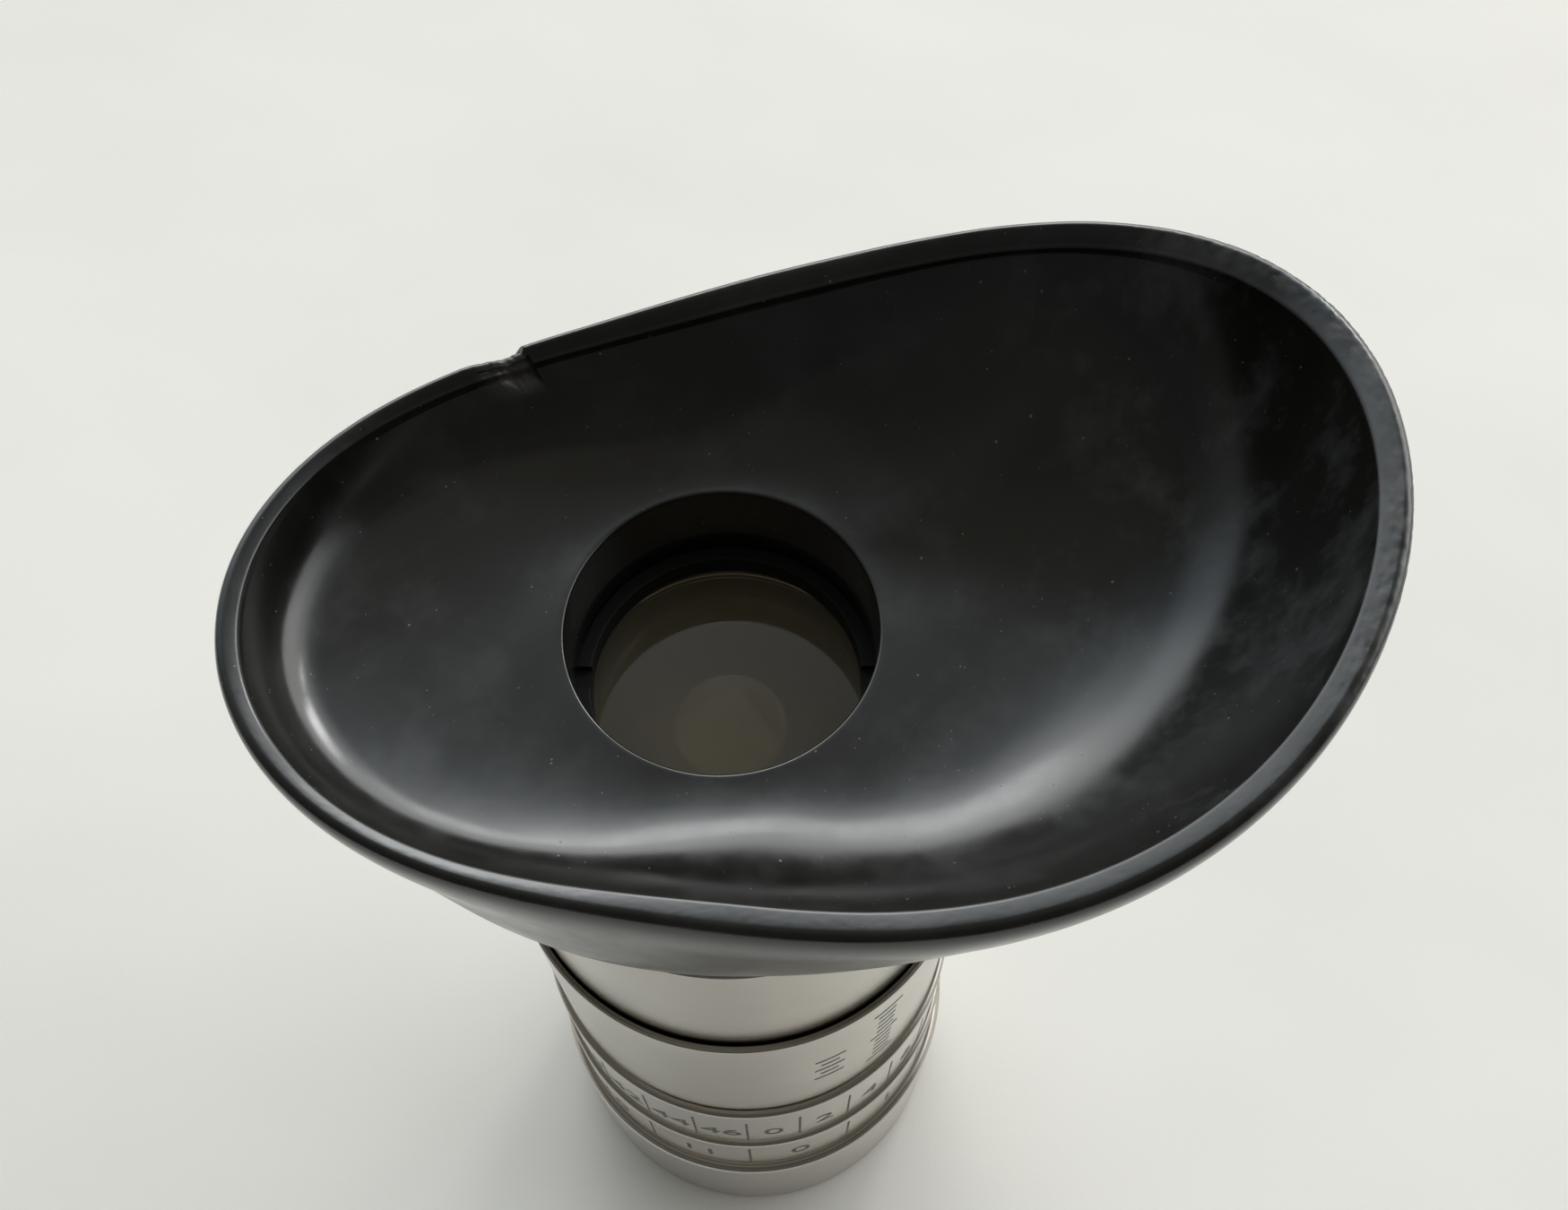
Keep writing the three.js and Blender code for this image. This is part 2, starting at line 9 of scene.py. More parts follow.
import bmesh
import bpy
import numpy as np
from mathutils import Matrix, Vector, noise


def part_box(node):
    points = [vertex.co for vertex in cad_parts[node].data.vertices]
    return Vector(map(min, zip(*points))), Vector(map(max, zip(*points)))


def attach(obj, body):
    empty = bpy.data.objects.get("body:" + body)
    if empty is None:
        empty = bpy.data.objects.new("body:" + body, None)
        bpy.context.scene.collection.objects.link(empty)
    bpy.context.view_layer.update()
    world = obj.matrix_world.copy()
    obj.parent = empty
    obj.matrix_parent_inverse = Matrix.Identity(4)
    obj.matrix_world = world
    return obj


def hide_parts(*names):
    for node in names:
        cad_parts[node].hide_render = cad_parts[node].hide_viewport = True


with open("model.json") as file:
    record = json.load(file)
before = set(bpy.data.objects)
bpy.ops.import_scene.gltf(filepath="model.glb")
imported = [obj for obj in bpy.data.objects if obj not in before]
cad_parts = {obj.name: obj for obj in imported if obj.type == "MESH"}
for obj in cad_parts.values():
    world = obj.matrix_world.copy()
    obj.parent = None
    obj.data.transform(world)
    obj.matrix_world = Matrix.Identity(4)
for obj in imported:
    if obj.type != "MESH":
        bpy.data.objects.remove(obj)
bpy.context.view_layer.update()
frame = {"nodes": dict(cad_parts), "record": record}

MM = 0.001
TAU = 2 * math.pi
BODY_OF = {node: body for body, nodes in frame["record"]["behaviour"]["bodies"].items() for node in nodes}
SLOT_OF = {part["node"]: part["material_slot"] for part in frame["record"]["subparts"]}


# ------------------------------------------------------------------ materials


class Finish:
    """A material with one Principled shader, and short calls for the nodes that feed it."""

    def __init__(self, name, constants):
        self.material = bpy.data.materials.new(name)
        self.material.use_nodes = True
        self.tree = self.material.node_tree
        self.shader = self.tree.nodes["Principled BSDF"]
        self.place = self.node("ShaderNodeTexCoord").outputs["Object"]
        for socket, value in constants.items():
            self.shader.inputs[socket].default_value = value

    def node(self, kind, sockets=None, **settings):
        made = self.tree.nodes.new(kind)
        for setting, value in settings.items():
            setattr(made, setting, value)
        for socket, value in (sockets or {}).items():
            self.feed(made.inputs[socket], value)
        return made

    def feed(self, socket, value):
        if isinstance(value, bpy.types.NodeSocket):
            self.tree.links.new(value, socket)
        else:
            socket.default_value = value

    def set(self, socket, value):
        self.feed(self.shader.inputs[socket], value)

    def math(self, operation, a, b=0.0):
        return self.node("ShaderNodeMath", {0: a, 1: b}, operation=operation).outputs[0]

    def stretched(self, x, y, z):
        """Object coordinates scaled differently along each axis."""
        return self.node("ShaderNodeMapping", {"Vector": self.place, "Scale": (x, y, z)}).outputs["Vector"]

    def turning_marks(self, fine, along):
        """Coordinates that change quickly with radius and height, and slowly round the axis."""
        split = self.node("ShaderNodeSeparateXYZ", {"Vector": self.place})
        x, y, z = (split.outputs[axis] for axis in "XYZ")
        squares = self.math("ADD", self.math("MULTIPLY", x, x), self.math("MULTIPLY", y, y))
        radius = self.math("SQRT", squares)
        across = self.math("ADD", self.math("MULTIPLY", radius, fine), self.math("MULTIPLY", x, along))
        upwards = self.math("ADD", self.math("MULTIPLY", z, fine), self.math("MULTIPLY", y, along))
        return self.node("ShaderNodeCombineXYZ", {"X": across, "Y": upwards}).outputs["Vector"]

    def noise(self, scale, detail=4.0, roughness=0.5, vector=None):
        sockets = {"Vector": vector or self.place, "Scale": scale, "Detail": detail, "Roughness": roughness}
        return self.node("ShaderNodeTexNoise", sockets).outputs["Fac"]

    def cells(self, scale):
        return self.node("ShaderNodeTexVoronoi", {"Vector": self.place, "Scale": scale})

    def between(self, value, low, high, to_low=0.0, to_high=1.0):
        """Value's stretch from low to high, spread over to_low to to_high and clamped."""
        sockets = {"Value": value, "From Min": low, "From Max": high, "To Min": to_low, "To Max": to_high}
        return self.node("ShaderNodeMapRange", sockets).outputs["Result"]

    def mix(self, share, a, b):
        a = (*a, 1.0) if isinstance(a, tuple) else a
        b = (*b, 1.0) if isinstance(b, tuple) else b
        return self.node("ShaderNodeMix", {0: share, 6: a, 7: b}, data_type="RGBA").outputs[2]

    def attribute(self, name):
        return self.node("ShaderNodeAttribute", attribute_name=name).outputs["Fac"]

    def bump(self, height, distance, strength=1.0, below=None):
        sockets = {"Height": height, "Distance": distance, "Strength": strength}
        if below is not None:
            sockets["Normal"] = below
        return self.node("ShaderNodeBump", sockets).outputs["Normal"]


def specks(finish, scale, size, share):
    """A mask of small round specks, one in the middle of a share of the cells."""
    cells = finish.cells(scale)
    chance = finish.node("ShaderNodeSeparateColor", {"Color": cells.outputs["Color"]})
    chosen = finish.math("LESS_THAN", chance.outputs["Red"], share)
    reach = finish.between(chance.outputs["Green"], 0.0, 1.0, 0.4 * size, size)
    near = finish.math("LESS_THAN", cells.outputs["Distance"], reach)
    return finish.math("MULTIPLY", chosen, near)


def hard_rubber():
    finish = Finish("hard_rubber", {"IOR": 1.62})
    mottle = finish.noise(90.0, 6.0, 0.6)
    smears = finish.noise(260.0, 5.0, 0.65, finish.stretched(1.0, 1.0, 0.6))
    haze = finish.noise(1400.0, 4.0, 0.6)
    wear = finish.attribute("wear")
    dusty = finish.math("MAXIMUM", specks(finish, 2500.0, 0.19, 0.03), specks(finish, 5000.0, 0.20, 0.03))
    black = finish.mix(mottle, (0.0052, 0.0052, 0.0040), (0.0074, 0.0072, 0.0052))
    split = finish.node("ShaderNodeSeparateXYZ", {"Vector": finish.place})
    handled = finish.math("MULTIPLY", finish.between(split.outputs["X"], 0.013, 0.021, 0.25, 1.0), 1.0)
    smudges = finish.math("MULTIPLY", finish.between(smears, 0.50, 0.68), handled)
    smeared = finish.mix(smudges, black, (0.034, 0.036, 0.035))
    worn = finish.mix(wear, smeared, (0.052, 0.047, 0.040))
    finish.set("Base Color", finish.mix(finish.math("MULTIPLY", dusty, 0.55), worn, (0.14, 0.135, 0.12)))
    polish = finish.between(smears, 0.36, 0.66, 0.17, 0.27)
    dull = finish.math("ADD", polish, finish.math("MULTIPLY", wear, 0.4))
    finish.set("Roughness", finish.math("ADD", dull, finish.math("MULTIPLY", dusty, 0.3)))
    grain = finish.bump(haze, 0.0000025)
    finish.set("Normal", finish.bump(finish.noise(5200.0, 3.0, 0.7), 0.00002, wear, grain))
    return finish.material


def nickel():
    finish = Finish("nickel", {"Metallic": 1.0})
    lines = finish.noise(1.0, 4.0, 0.7, finish.turning_marks(7000.0, 60.0))
    tarnish = finish.noise(160.0, 5.0, 0.6)
    smudge = finish.noise(45.0, 3.0, 0.5)
    scratch = finish.noise(1.0, 2.0, 0.4, finish.stretched(900.0, 900.0, 120.0))
    bright = finish.mix(finish.between(smudge, 0.35, 0.65), (0.545, 0.51, 0.455), (0.475, 0.44, 0.39))
    stained = finish.math("MULTIPLY", finish.between(tarnish, 0.56, 0.72), 0.45)
    finish.set("Base Color", finish.mix(stained, bright, (0.40, 0.36, 0.29)))
    wiped = finish.between(lines, 0.3, 0.7, 0.15, 0.22)
    greasy = finish.between(smudge, 0.4, 0.7, 0.0, 0.06)
    finish.set("Roughness", finish.math("ADD", wiped, greasy))
    turned_lines = finish.bump(lines, 0.000004)
    finish.set("Normal", finish.bump(finish.between(scratch, 0.62, 0.7), 0.000004, 0.5, turned_lines))
    return finish.material


def brass():
    finish = Finish("brass", {"Metallic": 1.0})
    lines = finish.noise(1.0, 4.0, 0.7, finish.turning_marks(6000.0, 50.0))
    age = finish.noise(240.0, 5.0, 0.6)
    aged = finish.mix(finish.between(age, 0.35, 0.65), (0.36, 0.27, 0.12), (0.16, 0.125, 0.07))
    finish.set("Base Color", aged)
    finish.set("Roughness", finish.between(age, 0.3, 0.7, 0.34, 0.52))
    finish.set("Normal", finish.bump(lines, 0.000006))
    return finish.material


def steel():
    finish = Finish("steel", {"Metallic": 1.0})
    lines = finish.noise(2600.0, 4.0, 0.6, finish.stretched(1.0, 1.0, 0.2))
    finish.set("Base Color", finish.mix(lines, (0.38, 0.375, 0.37), (0.52, 0.515, 0.50)))
    finish.set("Roughness", finish.between(lines, 0.3, 0.7, 0.28, 0.42))
    finish.set("Normal", finish.bump(lines, 0.000005))
    return finish.material


def blackened():
    finish = Finish("blackened", {"Specular IOR Level": 0.35})
    grain = finish.noise(5200.0, 5.0, 0.7)
    lines = finish.noise(1.0, 3.0, 0.6, finish.turning_marks(5000.0, 40.0))
    finish.set("Base Color", finish.mix(grain, (0.0040, 0.0040, 0.0040), (0.0090, 0.0086, 0.0080)))
    finish.set("Roughness", finish.between(grain, 0.3, 0.7, 0.52, 0.72))
    finish.set("Normal", finish.bump(finish.math("ADD", grain, lines), 0.00001))
    return finish.material


def glass():
    finish = Finish("glass", {"Transmission Weight": 0.86, "IOR": 1.58})
    haze = finish.noise(420.0, 6.0, 0.65)
    lint = specks(finish, 900.0, 0.10, 0.18)
    clear = finish.mix(haze, (0.50, 0.435, 0.285), (0.40, 0.345, 0.225))
    finish.set("Base Color", finish.mix(finish.math("MULTIPLY", lint, 0.4), clear, (0.62, 0.58, 0.48)))
    finish.set("Roughness", finish.between(haze, 0.35, 0.7, 0.015, 0.07))
    return finish.material


def felt():
    finish = Finish("felt", {"Roughness": 0.95, "Sheen Weight": 0.3})
    fibres = finish.noise(6000.0, 6.0, 0.8, finish.stretched(1.0, 0.3, 1.0))
    finish.set("Base Color", finish.mix(fibres, (0.012, 0.011, 0.010), (0.05, 0.045, 0.04)))
    finish.set("Normal", finish.bump(fibres, 0.00006))
    return finish.material


def engraving():
    finish = Finish("engraving", {})
    wear = finish.noise(2400.0, 4.0, 0.7)
    rubbed = finish.between(wear, 0.5, 0.66)
    finish.set("Base Color", finish.mix(rubbed, (0.045, 0.042, 0.037), (0.19, 0.18, 0.155)))
    finish.set("Roughness", finish.between(wear, 0.3, 0.7, 0.45, 0.7))
    finish.set("Normal", finish.bump(wear, 0.00001))
    return finish.material


def paper():
    finish = Finish("paper", {"Roughness": 0.9, "Specular IOR Level": 0.2})
    split = finish.node("ShaderNodeSeparateXYZ", {"Vector": finish.place})
    cloud = finish.noise(11.0, 3.0, 0.5)
    fibres = finish.noise(1800.0, 4.0, 0.6)
    plain = finish.mix(finish.between(cloud, 0.35, 0.65), (0.785, 0.768, 0.720), (0.820, 0.803, 0.755))
    # Painted shade: the paper's colour is darkened a little towards the front, standing in for light falling
    # off away from the windows behind.
    far = finish.between(split.outputs["Y"], -0.08, 0.16)
    painted_falloff_paper = finish.mix(far, finish.mix(0.12, plain, (0.55, 0.54, 0.51)), plain)
    # Painted light: the paper's colour is made brighter and warmer towards the back right, where the window
    # light is strongest.
    right = finish.math("MULTIPLY", far, finish.between(split.outputs["X"], 0.02, 0.16))
    finish.set("Base Color", finish.mix(finish.math("MULTIPLY", right, 0.6), painted_falloff_paper, (0.90, 0.865, 0.80)))
    creases = finish.bump(cloud, 0.0012)
    finish.set("Normal", finish.bump(fibres, 0.00001, 1.0, creases))
    return finish.material


FINISH = {
    "hard_rubber": hard_rubber(),
    "nickel": nickel(),
    "brass": brass(),
    "steel": steel(),
    "blackened": blackened(),
    "glass": glass(),
    "felt": felt(),
    "engraving": engraving(),
}


# ------------------------------------------------------------------ mesh helpers


def new_object(name, mesh):
    made = bpy.data.objects.new(name, mesh)
    bpy.context.scene.collection.objects.link(made)
    return made


def mesh_from(name, points, faces, sharp=None):
    """A smooth mesh from points in millimetres, turned so that its faces point out."""
    mesh = bpy.data.meshes.new(name)
    mesh.from_pydata((np.asarray(points, float) * MM).tolist(), [], faces)
    work = bmesh.new()
    work.from_mesh(mesh)
    bmesh.ops.remove_doubles(work, verts=work.verts, dist=1e-8)
    if work.calc_volume(signed=True) < 0:
        bmesh.ops.reverse_faces(work, faces=work.faces)
    work.to_mesh(mesh)
    work.free()
    mesh.polygons.foreach_set("use_smooth", [True] * len(mesh.polygons))
    if sharp is not None:
        mesh.set_sharp_from_angle(angle=math.radians(sharp))
    return mesh


def grid_faces(rows, columns, rows_close=True):
    """Quads of a grid of points that closes round its columns, and round its rows too if asked."""
    last = rows if rows_close else rows - 1
    faces = []
    for row in range(last):
        here = row * columns
        there = (row + 1) % rows * columns
        for column in range(columns):
            side = (column + 1) % columns
            faces.append((here + column, here + side, there + side, there + column))
    return faces


def lathe_mesh(name, profile, columns=256, sharp=None):
    """Turns a closed outline of (radius, height) pairs about the Z axis."""
    angles = np.arange(columns) * TAU / columns
    rows = [
        np.stack([radius * np.cos(angles), radius * np.sin(angles), np.full(columns, height)], -1)
        for radius, height in profile
    ]
    return mesh_from(name, np.concatenate(rows), grid_faces(len(profile), columns), sharp)


def softened(outline, radius, steps=4):
    """The outline with each corner rounded, and a point close to each end of every straight stretch."""
    result = []
    count = len(outline)
    for i in range(count):
        before, corner, after = (np.array(outline[(i + k) % count], float) for k in (-1, 0, 1))
        if corner[0] < 1e-6:
            result.append(tuple(corner))
            continue
        to_before = before - corner
        to_after = after - corner
        room = min(np.hypot(*to_before), np.hypot(*to_after))
        reach = min(radius, 0.38 * room)
        start = corner + to_before / np.hypot(*to_before) * reach
        end = corner + to_after / np.hypot(*to_after) * reach
        guard = min(0.3 * reach, 0.1 * room)
        result.append(tuple(start + to_before / np.hypot(*to_before) * guard))
        for step in range(steps + 1):
            t = step / steps
            result.append(tuple((1 - t) ** 2 * start + 2 * t * (1 - t) * corner + t * t * end))
        result.append(tuple(end + to_after / np.hypot(*to_after) * guard))
    return result


def column_points(node):
    """The points and edges of a turned CAD node that lie in its half plane at 45 degrees, as
    (radius, height) pairs in millimetres."""
    data = frame["nodes"][node].data
    keys = []
    for vertex in data.vertices:
        x, y, z = (c / MM for c in vertex.co)
        radius = math.hypot(x, y)
        in_plane = radius < 1e-3 or abs(math.degrees(math.atan2(y, x)) - 45.0) < 0.4
        keys.append((round(radius, 3), round(z, 3)) if in_plane else None)
    links = {key: set() for key in keys if key}
    for edge in data.edges:
        a, b = (keys[index] for index in edge.vertices)
        if a and b and a != b:
            links[a].add(b)
            links[b].add(a)
    return links


def profile_of(node):
    """The closed outline of a turned CAD node. Where cuts have broken the outline's edges, its points
    are put in order round their middle, which is right for a convex outline."""
    links = column_points(node)
    if all(len(near) == 2 for near in links.values()):
        path = [min(links)]
        step = min(links[path[0]])
        while step != path[0]:
            path.append(step)
            step = next(iter(links[step] - {path[-2]}), path[0])
        if len(path) == len(links):
            return path
    middle = np.mean(list(links), axis=0)
    return sorted(links, key=lambda key: math.atan2(key[1] - middle[1], key[0] - middle[0]))


def finished(piece, node, material=None):
    """Gives a piece that stands for a CAD node its finish, slot and body."""
    slot = material or SLOT_OF[node]
    piece.data.materials.clear()
    piece.data.materials.append(FINISH[slot])
    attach(piece, BODY_OF[node])
    return piece


def standing_for(piece, node):
    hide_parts(node)
    return finished(piece, node)


def cut_by(piece, cutters, sharp=32.0):
    """Cuts a piece with closed meshes and keeps the result as its mesh."""
    for cutter in cutters:
        tool = new_object("tool", cutter)
        modifier = piece.modifiers.new("cut", "BOOLEAN")
        modifier.operation = "DIFFERENCE"
        modifier.solver = "EXACT"
        modifier.object = tool
        bpy.context.view_layer.update()
        solid = bpy.data.meshes.new_from_object(piece.evaluated_get(bpy.context.evaluated_depsgraph_get()))
        piece.modifiers.clear()
        piece.data = solid
        bpy.data.objects.remove(tool)
    piece.data.polygons.foreach_set("use_smooth", [True] * len(piece.data.polygons))
    piece.data.set_sharp_from_angle(angle=math.radians(sharp))
    return piece


def block_mesh(low, high):
    """A box between two corners, in millimetres."""
    corners = [(x, y, z) for z in (low[2], high[2]) for y in (low[1], high[1]) for x in (low[0], high[0])]
    faces = [(0, 2, 3, 1), (4, 5, 7, 6), (0, 1, 5, 4), (2, 6, 7, 3), (0, 4, 6, 2), (1, 3, 7, 5)]
    return mesh_from("block", corners, faces)


def box_mm(node):
    low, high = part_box(node)
    return np.array(low) / MM, np.array(high) / MM


# ------------------------------------------------------------------ turned pieces

# The corner rounding of each turned piece, in millimetres, and how many columns it has.
TURNED = {
    "nosepiece": (0.14, 320),
    "lower_sleeve": (0.10, 320),
    "dial_ring": (0.09, 320),
    "focus_ring": (0.07, 320),
    "collar": (0.09, 320),
    "bearing_flange": (0.06, 256),
    "baffle": (0.08, 192),
    "body_tube": (0.08, 192),
    "field_stop": (0.08, 160),
    "reticle_holder": (0.10, 160),
    "reticle_retainer": (0.08, 160),
    "helicoid_nut": (0.10, 192),
    "helicoid_sleeve": (0.10, 192),
    "lens_cell": (0.08, 192),
    "eye_retainer": (0.08, 160),
    "field_retainer": (0.08, 160),
    "lens_spacer": (0.08, 160),
    "cup_washer": (0.12, 192),
    "cup_bush": (0.08, 192),
    "reticle": (0.10, 160),
}


# The spanner notches of the retaining rings.
NOTCH_HALF = 0.6
NOTCH_DEPTH = 0.5
NOTCH_REACH = 20.0

# The body tube's slot for the guide key, and how far it runs past the key each way.
KEY_SLOT_HALF = 1.1
KEY_SLOT_INNER = 9.0
KEY_SLOT_OUTER = 14.0
KEY_SLOT_ROOM = 3.5

# The gaps of the split rings.
HALF_GAP = {"snap_ring": 1.5, "friction_spring": 0.75}


def turned_piece(node):
    corner, columns = TURNED[node]
    outline = softened(profile_of(node), corner)
    return new_object(f"{node}_turned", lathe_mesh(node, outline, columns))


def rod_mesh(radius, start, end, height, sides=64):
    """A closed rod along +X at a height, between two distances off the axis."""
    angles = np.arange(sides) * TAU / sides
    rows = []
    for reach, share in ((start, 1e-4), (start, 1.0), (end, 1.0), (end, 1e-4)):
        y = radius * share * np.cos(angles)
        z = height + radius * share * np.sin(angles)
        rows.append(np.stack([np.full(sides, reach), y, z], -1))
    return mesh_from("rod", np.concatenate(rows), grid_faces(4, sides))


def screw_holes(ring_node, screw_node):
    """The rods that cut a ring's two screw holes."""
    low, high = box_mm(screw_node)
    radius = (high[1] - low[1]) / 2 + 0.1
    height = (high[2] + low[2]) / 2
    reach = box_mm(ring_node)[1][0] + 1.0
    inner = low[0] - 1.5
    return [rod_mesh(radius, inner, reach, height), rod_mesh(radius, -reach, -inner, height)]


def grub_screw(node):
    """A headless screw with a bevelled end and a slot, lying along +X or -X."""
    low, high = box_mm(node)
    side = 1.0 if high[0] > 0 else -1.0
    inner, outer = sorted((abs(low[0]), abs(high[0])))
    radius = (high[1] - low[1]) / 2
    height = (high[2] + low[2]) / 2
    sides = 48
    bevel = 0.15
    angles = np.arange(sides) * TAU / sides
    rows = []
    stations = (
        (inner, 0.001), (inner, radius - bevel), (inner + bevel, radius),
        (outer - bevel, radius), (outer, radius - bevel), (outer, 0.001),
    )
    for reach, around in stations:
        x = np.full(sides, side * reach)
        rows.append(np.stack([x, around * np.cos(angles), height + around * np.sin(angles)], -1))
    mesh = mesh_from(node, np.concatenate(rows), grid_faces(len(stations), sides))
    piece = new_object(f"{node}_made", mesh)
    slot_depth = 0.5
    slot_half = 0.18
    ends = sorted((side * (outer - slot_depth), side * (outer + slot_depth)))
    slot = block_mesh((ends[0], -2 * radius, height - slot_half), (ends[1], 2 * radius, height + slot_half))
    return cut_by(piece, [slot])


def filter_thread():
    """The fine helical thread inside the nosepiece's lower end."""
    recess_top = 4.0
    crest = 13.78
    root = 14.14
    pitch = 0.6
    turns = (recess_top - 1.0) / pitch
    steps = 120
    count = int(turns * steps)
    section = ((root, -0.48), (crest, -0.05), (crest, 0.05), (root, 0.48))
    points = []
    for i in range(count + 1):
        angle = TAU * i / steps
        middle = 0.5 + pitch * i / steps
        fade = min(1.0, 8 * i / count, 8 * (count - i) / count)
        for radius, rise in section:
            shown = root + (radius - root) * fade
            points.append((shown * math.cos(angle), shown * math.sin(angle), middle + rise * pitch))
    faces = []
    for i in range(count):
        for k in range(4):
            a = i * 4 + k
            b = i * 4 + (k + 1) % 4
            faces.append((a, b, b + 4, a + 4))
    faces.append((3, 2, 1, 0))
    end = count * 4
    faces.append((end, end + 1, end + 2, end + 3))
    return new_object("filter_thread", mesh_from("filter_thread", points, faces, 30.0))


def split_ring(node, columns=160):
    """A spring ring with a gap in its back, its ends square."""
    profile = softened(profile_of(node), 0.06)
    solid = new_object(f"{node}_split", lathe_mesh(node, profile, columns))
    low, high = box_mm(node)
    half = HALF_GAP[node]
    return cut_by(solid, [block_mesh((-half, 0.0, low[2] - 1.0), (half, high[0] + 1.0, high[2] + 1.0))])


def lens(node):
    """A lens with true curved faces, its edge height and the height at its axis read from the CAD node."""
    outline = profile_of(node)
    edge = max(radius for radius, _ in outline)
    rims = sorted(height for radius, height in outline if radius > edge - 1e-3)
    middles = sorted(height for radius, height in outline if radius < 1e-3)
    bevel = 0.12
    steps = 28
    points = []
    for i in range(steps + 1):
        share = i / steps
        points.append(((edge - bevel) * share, middles[0] + (rims[0] - middles[0]) * share * share))
    points.append((edge, rims[0] + bevel))
    points.append((edge, rims[1] - bevel))
    for i in range(steps, -1, -1):
        share = i / steps
        points.append(((edge - bevel) * share, middles[1] + (rims[1] - middles[1]) * share * share))
    return new_object(f"{node}_ground", lathe_mesh(node, points, 160, 25.0))


def guide_key(node="guide_key"):
    """The key: a small block with its edges broken."""
    low, high = box_mm(node)
    mesh = block_mesh(low, high)
    work = bmesh.new()
    work.from_mesh(mesh)
    bmesh.ops.bevel(work, geom=work.edges[:], offset=0.12 * MM, segments=3, affect="EDGES")
    work.to_mesh(mesh)
    work.free()
    mesh.polygons.foreach_set("use_smooth", [True] * len(mesh.polygons))
    mesh.set_sharp_from_angle(angle=math.radians(30))
    return new_object("guide_key_made", mesh)


def make_barrel():
    cuts = {
        "lower_sleeve": screw_holes("lower_sleeve", "lower_screw_a"),
        "focus_ring": screw_holes("focus_ring", "focus_screw_a"),
    }
    for node in TURNED:
        piece = turned_piece(node)
        if node in cuts:
            cut_by(piece, cuts[node])
        if node in ("eye_retainer", "field_retainer"):
            low, high = box_mm(node)
            face = high[2] if node == "eye_retainer" else low[2]
            notch_low = (-NOTCH_REACH, -NOTCH_HALF, face - NOTCH_DEPTH)
            cut_by(piece, [block_mesh(notch_low, (NOTCH_REACH, NOTCH_HALF, face + NOTCH_DEPTH))])
        if node == "body_tube":
            low, high = box_mm("guide_key")
            slot_low = (-KEY_SLOT_HALF, KEY_SLOT_INNER, low[2] - KEY_SLOT_ROOM)
            slot_high = (KEY_SLOT_HALF, KEY_SLOT_OUTER, high[2] + KEY_SLOT_ROOM)
            cut_by(piece, [block_mesh(slot_low, slot_high)])
        standing_for(piece, node)
    for node in ("lower_screw_a", "lower_screw_b", "focus_screw_a", "focus_screw_b"):
        standing_for(grub_screw(node), node)
    for node in ("friction_spring", "snap_ring"):
        standing_for(split_ring(node), node)
    for node in ("eye_flint", "eye_crown", "field_crown", "field_flint"):
        standing_for(lens(node), node)
    standing_for(guide_key(), "guide_key")
    finished(filter_thread(), "nosepiece")


# ------------------------------------------------------------------ engraved marks

MARK_PROUD = 0.012
MARK_DEPTH = 0.06
SLICE = 0.25  # width of the slices that let a flat numeral bend round a ring
SLICES = 12  # to each side of its middle


